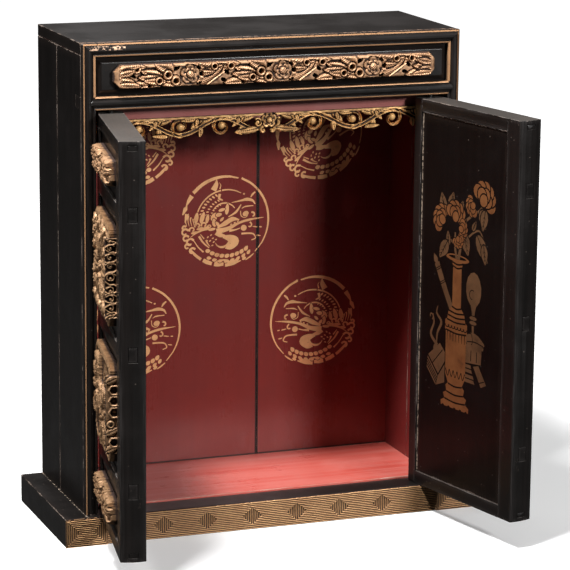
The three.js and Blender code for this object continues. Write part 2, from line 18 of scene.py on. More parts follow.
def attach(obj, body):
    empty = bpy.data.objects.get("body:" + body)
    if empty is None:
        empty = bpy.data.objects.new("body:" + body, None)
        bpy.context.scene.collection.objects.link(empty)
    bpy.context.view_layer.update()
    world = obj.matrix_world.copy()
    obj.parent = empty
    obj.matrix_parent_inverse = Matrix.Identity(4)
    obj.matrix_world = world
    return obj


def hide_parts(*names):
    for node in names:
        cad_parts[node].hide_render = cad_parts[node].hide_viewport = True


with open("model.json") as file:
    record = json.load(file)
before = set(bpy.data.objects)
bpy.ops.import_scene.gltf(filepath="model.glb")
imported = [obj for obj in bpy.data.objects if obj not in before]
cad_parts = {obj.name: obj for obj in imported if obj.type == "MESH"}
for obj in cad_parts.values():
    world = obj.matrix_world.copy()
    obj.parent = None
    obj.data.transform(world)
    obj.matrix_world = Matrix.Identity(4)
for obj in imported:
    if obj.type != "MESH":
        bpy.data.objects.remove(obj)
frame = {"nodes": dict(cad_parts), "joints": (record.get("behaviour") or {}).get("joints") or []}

log = logging.getLogger("altar_cabinet")

MM = 0.001
FAR = 9.0
MATT = 0.6
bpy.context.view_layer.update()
Point = tuple[float, float]
Corner = tuple[float, float, float]
Span = tuple[float, float]
Colour = tuple[float, float, float]
Socket = bpy.types.NodeSocket
ALL: Span = (-FAR, FAR)
ORIGIN: Corner = (0.0, 0.0, 0.0)


def mm(*lengths: float) -> tuple[float, ...]:
    """Lengths given in millimetres, in metres."""
    return tuple(length * MM for length in lengths)


@dataclass(frozen=True)
class Place:
    """A frame in which boards lie square: the case's own, or that of a closed door.

    In a door's frame X runs from the pivot to the free edge and +Y is the inner face.
    """

    body: str
    origin: Corner = ORIGIN
    turn: float = 0.0
    mirrored: bool = False

    def matrix(self) -> Matrix:
        """The change from this frame to the cabinet's."""
        flip = Matrix.Diagonal((-1.0 if self.mirrored else 1.0, 1.0, 1.0, 1.0))
        return Matrix.Translation(self.origin) @ Matrix.Rotation(self.turn, 4, "Z") @ flip

    def box(self, node: str) -> tuple[Vector, Vector]:
        """The lowest and highest corner of a solid in this frame.

        Args:
            node: The solid's name.

        Returns:
            Its two corners.
        """
        back = self.matrix().inverted()
        corners = np.array([back @ v.co for v in frame["nodes"][node].data.vertices])
        return Vector(corners.min(0)), Vector(corners.max(0))


def door_place(body: str) -> Place:
    """The frame of a door when closed, read from its joint.

    Args:
        body: The door's body.

    Returns:
        Its place at rest, which is open.
    """
    joint = next(j for j in frame["joints"] if j["child"] == body)
    x, y, _ = joint["pos_m"]
    opening = math.radians(joint["range_deg"][1]) * joint["axis"][2]
    return Place(body, (x, y, 0.0), -opening, mirrored=x > 0)


CASE = Place("case")
DOORS = (door_place("left_door"), door_place("right_door"))


class Nodes:
    """The nodes of one material or group, added and linked by short calls."""

    def __init__(self, tree: bpy.types.NodeTree) -> None:
        """Takes over a tree and empties it.

        Args:
            tree: The material's or group's node tree.
        """
        self.tree = tree
        tree.nodes.clear()

    def feed(self, socket: Socket, value: object) -> None:
        """Links a socket, or sets its plain value.

        Args:
            socket: The input.
            value: A socket or a plain value.
        """
        if isinstance(value, bpy.types.NodeSocket):
            self.tree.links.new(value, socket)
        elif value is not None:
            colour = socket.type == "RGBA" and not isinstance(value, float) and len(value) == 3
            socket.default_value = (*value, 1.0) if colour else value

    def add(self, kind: str, inputs: dict | None = None, **settings: object) -> bpy.types.Node:
        """Adds a node.

        Args:
            kind: Its type, without the ShaderNode prefix.
            inputs: Values or sockets for its inputs, by name or number.
            **settings: The node's own properties.

        Returns:
            The node.
        """
        node = self.tree.nodes.new(kind if kind.startswith("NodeGroup") else "ShaderNode" + kind)
        for name, value in settings.items():
            setattr(node, name, value)
        for name, value in (inputs or {}).items():
            self.feed(node.inputs[name], value)
        return node

    def math(self, operation: str, *values: object, clamp: bool = False) -> Socket:
        """The result of a Math node of up to three values.

        Args:
            operation: The node's operation.
            *values: Its inputs, sockets or plain values.
            clamp: Whether the result stays from 0 to 1.

        Returns:
            The result's socket.
        """
        node = self.add("Math", operation=operation, use_clamp=clamp)
        for socket, value in zip(node.inputs, values):
            self.feed(socket, value)
        return node.outputs[0]

    def times(self, first: object, second: object, clamp: bool = False) -> Socket:
        """One number times another."""
        return self.math("MULTIPLY", first, second, clamp=clamp)

    def plus(self, first: object, second: object, clamp: bool = False) -> Socket:
        """One number and another."""
        return self.math("ADD", first, second, clamp=clamp)

    def minus(self, first: object, second: object) -> Socket:
        """One number less another."""
        return self.math("SUBTRACT", first, second)

    def vector(self, operation: str, *values: object) -> Socket:
        """The vector result of a Vector Math node.

        Args:
            operation: The node's operation.
            *values: Its inputs, sockets or plain values.

        Returns:
            The result's socket.
        """
        node = self.add("VectorMath", operation=operation)
        for socket, value in zip(node.inputs, values):
            self.feed(socket, value)
        return node.outputs[0]

    def mix(self, factor: object, first: object, second: object) -> Socket:
        """A colour between two.

        Args:
            factor: The share of the second, 0 to 1.
            first: What 0 gives.
            second: What 1 gives.

        Returns:
            The colour's socket.
        """
        node = self.add("Mix", data_type="RGBA")
        self.feed(node.inputs[0], factor)
        self.feed(node.inputs[6], first)
        self.feed(node.inputs[7], second)
        return node.outputs[2]

    def lerp(self, factor: object, first: object, second: object) -> Socket:
        """A number between two.

        Args:
            factor: The share of the second, 0 to 1.
            first: What 0 gives.
            second: What 1 gives.

        Returns:
            The number's socket.
        """
        node = self.add("Mix", data_type="FLOAT")
        self.feed(node.inputs[0], factor)
        self.feed(node.inputs[2], first)
        self.feed(node.inputs[3], second)
        return node.outputs[0]

    def step(self, value: object, low: object, high: object) -> Socket:
        """A smooth step of a value from 0 at low to 1 at high."""
        inputs = {"Value": value, "From Min": low, "From Max": high}
        return self.add("MapRange", inputs, interpolation_type="SMOOTHSTEP").outputs[0]

    def noise(self, vector: object, scale: object, detail: float = 3.0, rough: float = 0.55) -> Socket:
        """A noise value about 0.5."""
        inputs = {"Vector": vector, "Scale": scale, "Detail": detail, "Roughness": rough}
        return self.add("TexNoise", inputs).outputs[0]

    def split(self, vector: object) -> Sequence[Socket]:
        """The three parts of a vector."""
        return self.add("SeparateXYZ", {0: vector}).outputs

    def local(self, place: Place) -> Socket:
        """The position in a place's frame, fixed to the piece as it moves.

        Args:
            place: The frame wanted.

        Returns:
            A vector in metres.
        """
        here = self.add("TexCoord").outputs["Object"]
        if place.turn == 0.0 and not place.mirrored:
            return here
        turn = {
            "Vector": here,
            "Location": place.origin,
            "Rotation": (0.0, 0.0, place.turn),
            "Scale": (-1.0 if place.mirrored else 1.0, 1.0, 1.0),
        }
        return self.add("Mapping", turn, vector_type="TEXTURE").outputs[0]

    def surface(self, height: Socket, strength: float, distance: float, inputs: dict) -> None:
        """Ends a material with a bumped surface.

        Args:
            height: The bumps' height, as a share of the distance.
            strength: How strongly they show.
            distance: How high they stand, in metres.
            inputs: Values or sockets of the surface's other inputs, by name.
        """
        bump = self.add("Bump", {"Height": height, "Strength": strength, "Distance": distance})
        shader = self.add("BsdfPrincipled", {**inputs, "Normal": bump.outputs[0]})
        self.add("OutputMaterial", {"Surface": shader.outputs[0]})


def new_material(name: str) -> tuple[bpy.types.Material, Nodes]:
    """Makes a material.

    Args:
        name: Its name.

    Returns:
        The material and the nodes to build it with.
    """
    material = bpy.data.materials.new(name)
    material.use_nodes = True
    return material, Nodes(material.node_tree)


class Effect(Enum):
    """An effect that several finishes share, kept as one node group each."""

    BOARD_EDGE = "board_edge"
    GRAIN = "grain"
    SCUFFS = "scuffs"
    SPECKS = "specks"
    BAND = "band"

    def tree(self) -> bpy.types.NodeTree:
        """The effect's node group, made on its first use.

        Returns:
            The group's tree.
        """
        if self.value not in bpy.data.node_groups:
            tree = bpy.data.node_groups.new(self.value, "ShaderNodeTree")
            EFFECT_MAKERS[self](tree)
        return bpy.data.node_groups[self.value]


def group_ends(tree: bpy.types.NodeTree, inputs: dict, outputs: Sequence[str]) -> tuple[Nodes, dict, dict]:
    """Gives a node group its sockets.

    Args:
        tree: The group's empty tree.
        inputs: Defaults by name: a number, or three for a vector.
        outputs: Names of its number outputs.

    Returns:
        The nodes to build with, and its input and output sockets by name.
    """
    for name, value in inputs.items():
        kind = "NodeSocketVector" if isinstance(value, tuple) else "NodeSocketFloat"
        tree.interface.new_socket(name, in_out="INPUT", socket_type=kind).default_value = value
    for name in outputs:
        tree.interface.new_socket(name, in_out="OUTPUT", socket_type="NodeSocketFloat")
    nodes = Nodes(tree)
    return nodes, nodes.add("NodeGroupInput").outputs, nodes.add("NodeGroupOutput").inputs


def make_board_edge(tree: bpy.types.NodeTree) -> None:
    """Wear that follows the edges of a square board, in patches. Edge is the mask, Near a wide soft one.

    Args:
        tree: The group's empty tree.
    """
    inputs = {"Position": ORIGIN, "Low": ORIGIN, "High": (1.0, 1.0, 1.0)}
    nodes, given, out = group_ends(tree, {**inputs, "Reach": 0.002, "Patches": 60.0}, ("Edge", "Near"))
    inside = nodes.vector("MINIMUM", nodes.vector("SUBTRACT", given["Position"], given["Low"]),
                          nodes.vector("SUBTRACT", given["High"], given["Position"]))
    a, b, c = nodes.split(nodes.vector("ABSOLUTE", inside))
    larger = nodes.math("MINIMUM", nodes.math("MAXIMUM", a, b), c)
    distance = nodes.math("MAXIMUM", nodes.math("MINIMUM", a, b), larger)
    patches = nodes.noise(given["Position"], given["Patches"], 4.0, 0.65)
    reach = nodes.times(given["Reach"], nodes.step(patches, 0.38, 0.72))
    ragged = nodes.noise(given["Position"], 900.0, 2.0)
    near = nodes.plus(distance, nodes.times(nodes.minus(ragged, 0.5), 0.0012))
    nodes.feed(out["Edge"], nodes.step(near, reach, nodes.times(reach, 0.45)))
    nodes.feed(out["Near"], nodes.step(distance, nodes.times(given["Reach"], 6.0), 0.0))


def make_grain(tree: bpy.types.NodeTree) -> None:
    """Long streaks of wood under a finish, stretched by the Stretch vector. Fine and Broad are about 0.5.

    Args:
        tree: The group's empty tree.
    """
    nodes, given, out = group_ends(
        tree, {"Position": ORIGIN, "Stretch": (1.0, 1.0, 0.03)}, ("Fine", "Broad"))
    along = nodes.vector("MULTIPLY", given["Position"], given["Stretch"])
    nodes.feed(out["Fine"], nodes.noise(along, 900.0, 4.0, 0.6))
    nodes.feed(out["Broad"], nodes.noise(along, 110.0, 3.0, 0.5))


def make_scuffs(tree: bpy.types.NodeTree) -> None:
    """Thin scratches that run a little way and stop.

    Args:
        tree: The group's empty tree.
    """
    nodes, given, out = group_ends(tree, {"Position": ORIGIN, "Amount": 0.5}, ("Scuff",))
    total = None
    for stretch, limit in (((260.0, 260.0, 18.0), 0.66), ((30.0, 30.0, 300.0), 0.68)):
        warped = nodes.vector("MULTIPLY", given["Position"], stretch)
        lines = nodes.noise(warped, 3.0, 1.0, 0.4)
        thin = nodes.step(nodes.math("ABSOLUTE", nodes.minus(lines, 0.5)), 0.006, 0.0)
        kept = nodes.step(nodes.noise(given["Position"], 37.0, 3.0, 0.7), limit, limit + 0.04)
        line = nodes.times(thin, kept)
        total = line if total is None else nodes.math("MAXIMUM", total, line)
    nodes.feed(out["Scuff"], nodes.times(total, given["Amount"]))


def make_specks(tree: bpy.types.NodeTree) -> None:
    """Small pale specks of dust and pinholes.

    Args:
        tree: The group's empty tree.
    """
    nodes, given, out = group_ends(
        tree, {"Position": ORIGIN, "Scale": 160.0, "Amount": 0.1}, ("Speck",))
    cells = nodes.add("TexVoronoi", {"Vector": given["Position"], "Scale": given["Scale"]})
    dot = nodes.step(cells.outputs["Distance"], 0.16, 0.05)
    chance = nodes.split(cells.outputs["Color"])[0]
    nodes.feed(out["Speck"], nodes.times(dot, nodes.math("LESS_THAN", chance, given["Amount"])))


def make_band(tree: bpy.types.NodeTree) -> None:
    """A mask that is 1 where a value lies between Low and High, with soft ends.

    Args:
        tree: The group's empty tree.
    """
    nodes, given, out = group_ends(
        tree, {"Value": 0.0, "Low": 0.0, "High": 1.0, "Soft": 0.0002}, ("Mask",))
    half = given["Soft"]
    over = nodes.step(given["Value"], nodes.minus(given["Low"], half),
                      nodes.plus(given["Low"], half))
    under = nodes.step(given["Value"], nodes.plus(given["High"], half),
                       nodes.minus(given["High"], half))
    nodes.feed(out["Mask"], nodes.times(over, under))


EFFECT_MAKERS: dict[Effect, Callable[[bpy.types.NodeTree], None]] = {
    Effect.BOARD_EDGE: make_board_edge,
    Effect.GRAIN: make_grain,
    Effect.SCUFFS: make_scuffs,
    Effect.SPECKS: make_specks,
    Effect.BAND: make_band,
}


def effect(nodes: Nodes, kind: Effect, **inputs: object) -> bpy.types.bpy_prop_collection:
    """Places a shared effect in a material.

    Args:
        nodes: The material's nodes.
        kind: Which effect.
        **inputs: Values or sockets for its inputs.

    Returns:
        Its output sockets, by name.
    """
    node = nodes.add("Group", node_tree=kind.tree())
    for name, value in inputs.items():
        nodes.feed(node.inputs[name], value)
    return node.outputs


class Grain(Enum):
    """Which way a board's wood runs, as the stretch of its streaks."""

    ALONG_X = (0.03, 1.0, 1.0)
    ALONG_Z = (1.0, 1.0, 0.03)


@dataclass(frozen=True)
class Region:
    """A box in a board's frame where another coat covers the lacquer."""

    colour: Colour
    x: Span = ALL
    y: Span = ALL
    z: Span = ALL
    roughness: float = 0.4
    metallic: float = 0.0
    wear: float = 0.3

    def mask(self, nodes: Nodes, position: Socket) -> Socket:
        """The coat's mask, a little worn away in patches.

        Args:
            nodes: The material's nodes.
            position: The position in the board's frame.

        Returns:
            A number from 0 to 1.
        """
        total = None
        for value, span in zip(nodes.split(position), (self.x, self.y, self.z)):
            if span == ALL:
                continue
            band = effect(nodes, Effect.BAND, Value=value, Low=span[0], High=span[1])["Mask"]
            total = band if total is None else nodes.times(total, band)
        patches = nodes.noise(position, 260.0, 5.0, 0.7)
        worn = nodes.step(patches, 0.74 - 0.3 * self.wear, 0.84 - 0.3 * self.wear)
        return nodes.times(total, nodes.minus(1.0, worn))


@dataclass(frozen=True)
class Lacquer:
    """Lacquer over wood: streaks of grain, dull and glossy patches, dust, scratches, worn edges, and upward
    faces lighter, partly dust and partly painted sheen.
    """

    name: str
    colour: Colour
    patch: Colour
    worn: Colour
    bare: Colour
    roughness: float = 0.3
    coat: float = 0.25
    edge_reach: float = 1.6 * MM
    edge_patches: float = 45.0
    streak: float = 0.35
    dust: float = 0.12
    scuff: float = 0.5
    top_dust_and_sheen: float = 0.0
    dust_and_sheen: Colour = (0.050, 0.044, 0.042)
    shine: float = 0.3

    def material(self, place: Place, low: Vector, high: Vector, grain: Grain,
                 regions: Sequence[Region] = (), label: str = "") -> bpy.types.Material:
        """The finish of one board.

        Args:
            place: The frame in which the board is square.
            low: The board's lowest corner there.
            high: Its highest corner.
            grain: Which way its wood runs.
            regions: Coats that cover parts of it.
            label: The board's name.

        Returns:
            A material.
        """
        material, nodes = new_material(f"{self.name}_{label}")
        position = nodes.local(place)
        streaks = effect(nodes, Effect.GRAIN, Position=position, Stretch=grain.value)
        edge = effect(nodes, Effect.BOARD_EDGE, Position=position, Low=tuple(low), High=tuple(high),
                      Reach=self.edge_reach, Patches=self.edge_patches)
        scuffs = effect(nodes, Effect.SCUFFS, Position=position, Amount=self.scuff)
        specks = effect(nodes, Effect.SPECKS, Position=position, Amount=self.dust)
        cloud = nodes.noise(position, 16.0, 4.0, 0.6)

        blend = nodes.times(nodes.step(streaks["Broad"], 0.35, 0.75), self.streak)
        colour = nodes.mix(blend, self.colour, self.patch)
        colour = nodes.mix(nodes.times(nodes.step(cloud, 0.45, 0.75), 0.5), colour, self.patch)
        gloss = nodes.step(cloud, 0.3, 0.7)
        roughness: object = nodes.lerp(gloss, self.roughness * 0.8, self.roughness * 1.25)
        fine = nodes.times(nodes.minus(streaks["Fine"], 0.5), self.streak * 0.3)
        roughness = nodes.plus(roughness, fine)
        metallic: object = None
        for region in regions:
            mask = region.mask(nodes, position)
            colour = nodes.mix(mask, colour, region.colour)
            roughness = nodes.lerp(mask, roughness, region.roughness)
            if region.metallic:
                metallic = nodes.lerp(mask, 0.0 if metallic is None else metallic, region.metallic)
        rub = nodes.times(edge["Near"], nodes.step(streaks["Fine"], 0.35, 0.8))
        colour = nodes.mix(nodes.times(rub, 0.25), colour, self.worn)
        colour = nodes.mix(edge["Edge"], colour, nodes.mix(nodes.step(streaks["Fine"], 0.45, 0.6),
                                                          self.worn, self.bare))
        # Upward faces turn lighter and rougher: partly dust, partly a painted sheen of the light from above.
        if self.top_dust_and_sheen:
            upward = nodes.split(nodes.add("NewGeometry").outputs["Normal"])[2]
            dust_and_sheen = nodes.times(nodes.step(upward, 0.8, 0.98), nodes.lerp(cloud, 0.75, 1.0))
            dust_and_sheen = nodes.times(dust_and_sheen, nodes.lerp(streaks["Fine"], self.top_dust_and_sheen * 0.6, self.top_dust_and_sheen))
            colour = nodes.mix(dust_and_sheen, colour, self.dust_and_sheen)
            roughness = nodes.plus(roughness, nodes.times(dust_and_sheen, 0.15))
        marks = nodes.math("MAXIMUM", scuffs["Scuff"], nodes.times(specks["Speck"], 0.5))
        colour = nodes.mix(nodes.times(marks, 0.45), colour, self.bare)
        roughness = nodes.plus(roughness, nodes.times(edge["Edge"], 0.3), clamp=True)

        skin = nodes.noise(position, 420.0, 2.0, 0.5)
        height = nodes.plus(nodes.times(streaks["Fine"], self.streak), skin)
        height = nodes.minus(height, nodes.times(nodes.math("MAXIMUM", marks, edge["Edge"]), 1.5))
        nodes.surface(height, 0.12, 0.0006, {
            "Base Color": colour, "Roughness": roughness, "Metallic": metallic,
            "Coat Weight": self.coat, "Coat Roughness": 0.16, "Coat IOR": 1.45,
            "Specular IOR Level": self.shine,
        })
        return material


BLACK = Lacquer("black_lacquer", colour=(0.006, 0.005, 0.0045), patch=(0.012, 0.0095, 0.0088), shine=0.2,
                worn=(0.075, 0.052, 0.042), bare=(0.30, 0.24, 0.20), roughness=0.36, coat=0.1, top_dust_and_sheen=0.3)
# The doors' pale grey edge colour is partly wear and partly a painted highlight along their arrises.
DOOR_BLACK = replace(BLACK, name="door_lacquer", worn=(0.15, 0.135, 0.13), top_dust_and_sheen=1.0, edge_reach=0.9 * MM,
                     dust_and_sheen=(0.078, 0.068, 0.061), scuff=0.95, dust=0.3, streak=0.7)
PLINTH_BLACK = replace(BLACK, name="plinth_lacquer", top_dust_and_sheen=0.05, scuff=0.9, dust=0.3)
PAINTED_BLACK = replace(BLACK, name="painted_lacquer", colour=(0.004, 0.003, 0.0027),
                        patch=(0.008, 0.006, 0.0055), shine=0.1, coat=0.04)
RED = Lacquer("red_lacquer", colour=(0.205, 0.026, 0.021), patch=(0.155, 0.020, 0.017),
              worn=(0.25, 0.06, 0.04), bare=(0.35, 0.2, 0.15), roughness=0.3, edge_reach=0.02 * MM,
              coat=0.12, dust=0.04, scuff=0.4, streak=0.3)
FASCIA_RED = Lacquer("fascia_lacquer", colour=(0.33, 0.11, 0.098), patch=(0.38, 0.155, 0.14),
                     worn=(0.25, 0.06, 0.04), bare=(0.35, 0.2, 0.15), edge_reach=0.02 * MM, dust=0.3)
FLOOR_RED = Lacquer("floor_lacquer", colour=(0.52, 0.075, 0.055), patch=(0.58, 0.17, 0.14),
                    worn=(0.45, 0.2, 0.15), bare=(0.62, 0.40, 0.34), roughness=0.32, dust=0.15,
                    scuff=1.0, streak=0.8)


@dataclass(frozen=True)
class Gilding:
    """Gold leaf on red ground over carved wood, worn in patches; grime and painted shade in hollows, painted
    highlight where proud.
    """

    name: str
    gold: Colour = (0.19, 0.088, 0.041)
    bright: Colour = (0.56, 0.325, 0.175)
    ground: Colour = (0.24, 0.085, 0.055)
    # Colour of the hollows: grime and painted shade together.
    dirt_and_shade: Colour = (0.030, 0.013, 0.008)
    metallic: float = 0.4
    roughness: float = 0.46
    dirt_and_shade_amount: float = 1.0

    def material(self) -> bpy.types.Material:
        """The finish, which reads the carving's own measure of hollow and proud places.

        Returns:
            A material.
        """
        material, nodes = new_material(self.name)
        position = nodes.add("TexCoord").outputs["Object"]
        cavity = nodes.add("Attribute", attribute_name=CAVITY).outputs["Fac"]
        cloud = nodes.noise(position, 70.0, 4.0, 0.6)
        fine = nodes.noise(position, 650.0, 4.0, 0.65)
        uneven = nodes.plus(cavity, nodes.times(nodes.minus(fine, 0.5), 0.35))
        # Hollows darken towards that colour: partly grime, partly painted shade where light does not reach.
        hollow = nodes.times(nodes.step(uneven, 0.15, -0.4), self.dirt_and_shade_amount, clamp=True)
        # What stands proud turns towards the bright gold: a painted highlight.
        proud = nodes.step(uneven, 0.15, 0.9)
        colour = nodes.mix(nodes.step(cloud, 0.3, 0.7), self.gold, self.bright)
        colour = nodes.mix(nodes.times(proud, 0.6), colour, self.bright)
        rubbed = nodes.times(nodes.step(cloud, 0.56, 0.7), nodes.step(fine, 0.5, 0.62))
        colour = nodes.mix(nodes.times(rubbed, 0.65), colour, self.ground)
        colour = nodes.mix(hollow, colour, self.dirt_and_shade)
        dull = nodes.math("MAXIMUM", hollow, nodes.times(rubbed, 0.8))
        metallic = nodes.times(nodes.minus(1.0, dull), self.metallic)
        roughness = nodes.plus(nodes.lerp(fine, self.roughness * 0.7, self.roughness * 1.3),
                               nodes.times(dull, 0.3), clamp=True)
        nodes.surface(fine, 0.25, 0.0005, {
            "Base Color": colour, "Roughness": roughness, "Metallic": metallic,
        })
        return material


@dataclass(frozen=True)
class GoldPaint:
    """Flat gold paint on lacquer, thin in places so that the ground shows."""

    name: str
    colour: Colour
    shade: Colour
    ground: Colour
    wear: float = 0.35
    roughness: float = 0.42
    metallic: float = 0.25

    def material(self) -> bpy.types.Material:
        """The paint as a material.

        Returns:
            The material.
        """
        material, nodes = new_material(self.name)
        position = nodes.add("TexCoord").outputs["Object"]
        cloud = nodes.noise(position, 60.0, 4.0, 0.6)
        fine = nodes.noise(position, 1400.0, 4.0, 0.7)
        colour = nodes.mix(nodes.step(cloud, 0.3, 0.7), self.colour, self.shade)
        thin = nodes.times(nodes.step(fine, 0.56, 0.72), self.wear)
        patch = nodes.times(nodes.step(cloud, 0.6, 0.72), self.wear)
        colour = nodes.mix(nodes.math("MAXIMUM", thin, patch), colour, self.ground)
        roughness = nodes.lerp(fine, self.roughness * 0.8, self.roughness * 1.2)
        nodes.surface(fine, 0.08, 0.0003, {
            "Base Color": colour, "Roughness": roughness, "Metallic": self.metallic,
            "Coat Weight": 0.15, "Coat Roughness": 0.2,
        })
        return material


CAVITY = "cavity"
GILT_CARVING = Gilding("gilt_carving")
# A darker copy of the carving gilding for the doors' carvings: painted shade on carvings that the light
# reaches less.
GILT_SHADED = Gilding("gilt_carving_shaded", gold=(0.16, 0.078, 0.036), bright=(0.46, 0.27, 0.14))
GILT_PELMET = Gilding("gilt_pelmet", gold=(0.27, 0.12, 0.038), bright=(0.98, 0.58, 0.235), dirt_and_shade_amount=1.5)
GILT_PLINTH = Gilding("gilt_plinth", gold=(0.44, 0.225, 0.10), bright=(0.62, 0.36, 0.17), roughness=0.48,
                      metallic=0.5, dirt_and_shade_amount=1.3)
INK_GROUND: Colour = (0.02, 0.01, 0.008)
ROUNDEL_GOLD = GoldPaint("roundel_gold", (0.95, 0.50, 0.22), (0.80, 0.40, 0.17), (0.2, 0.03, 0.026),
                         wear=0.25)
VASE_COPPER = GoldPaint("vase_copper", (0.225, 0.088, 0.030), (0.165, 0.060, 0.020), INK_GROUND)
VASE_DULL = GoldPaint("vase_dull_gold", (0.145, 0.073, 0.034), (0.10, 0.052, 0.024), INK_GROUND)


def new_object(name: str, vertices: np.ndarray, faces: Sequence, place: Place,
               materials: Iterable[bpy.types.Material], slots: Sequence[int] | None = None,
               smooth: np.ndarray | None = None) -> bpy.types.Object:
    """A mesh object that rides on its place's body.

    Args:
        name: The object's name.
        vertices: Corners in the place's frame.
        faces: Corner numbers of each face, with faces out in an unmirrored frame.
        place: The frame.
        materials: Its materials.
        slots: Each face's material number.
        smooth: Which faces are shaded smooth.

    Returns:
        The object.
    """
    matrix = np.array(place.matrix())
    world = np.asarray(vertices) @ matrix[:3, :3].T + matrix[:3, 3]
    ordered = [list(face)[::-1] if place.mirrored else list(face) for face in faces]
    mesh = bpy.data.meshes.new(name)
    mesh.from_pydata(world.tolist(), [], ordered)
    for material in materials:
        mesh.materials.append(material)
    if slots is not None:
        mesh.polygons.foreach_set("material_index", np.asarray(slots, np.int32))
    if smooth is not None:
        mesh.polygons.foreach_set("use_smooth", np.asarray(smooth, bool))
    mesh.update()
    piece = bpy.data.objects.new(name, mesh)
    bpy.context.scene.collection.objects.link(piece)
    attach(piece, place.body)
    return piece


def soft_noise(shape: tuple[int, int], cells: tuple[int, int], seed: int) -> np.ndarray:
    """A smooth random field from -1 to 1.

    Args:
        shape: Rows and columns wanted.
        cells: How many bumps along rows and columns.
        seed: The seed.

    Returns:
        The field.
    """
    coarse = np.random.default_rng(seed).uniform(-1.0, 1.0, (cells[0] + 2, cells[1] + 2))
    rows = np.linspace(0.0, cells[0], shape[0])
    columns = np.linspace(0.0, cells[1], shape[1])
    i, j = rows.astype(int), columns.astype(int)
    fi = (rows - i)[:, None]
    fj = (columns - j)[None, :]
    fi, fj = fi * fi * (3 - 2 * fi), fj * fj * (3 - 2 * fj)
    a, b = coarse[np.ix_(i, j)], coarse[np.ix_(i, j + 1)]
    c, d = coarse[np.ix_(i + 1, j)], coarse[np.ix_(i + 1, j + 1)]
    return (a * (1 - fj) + b * fj) * (1 - fi) + (c * (1 - fj) + d * fj) * fi


def blurred(heights: np.ndarray, radius: int) -> np.ndarray:
    """Heights averaged over a square window, twice.

    Args:
        heights: The heights.
        radius: How many places the window reaches to each side.

    Returns:
        The averages.
    """
    out = heights
    kernel = np.ones(2 * radius + 1) / (2 * radius + 1)
    for _ in range(2):
        padded = np.pad(out, radius, mode="edge")
        rows = np.apply_along_axis(lambda line: np.convolve(line, kernel, "valid"), 1, padded)
        out = np.apply_along_axis(lambda line: np.convolve(line, kernel, "valid"), 0, rows)
    return out


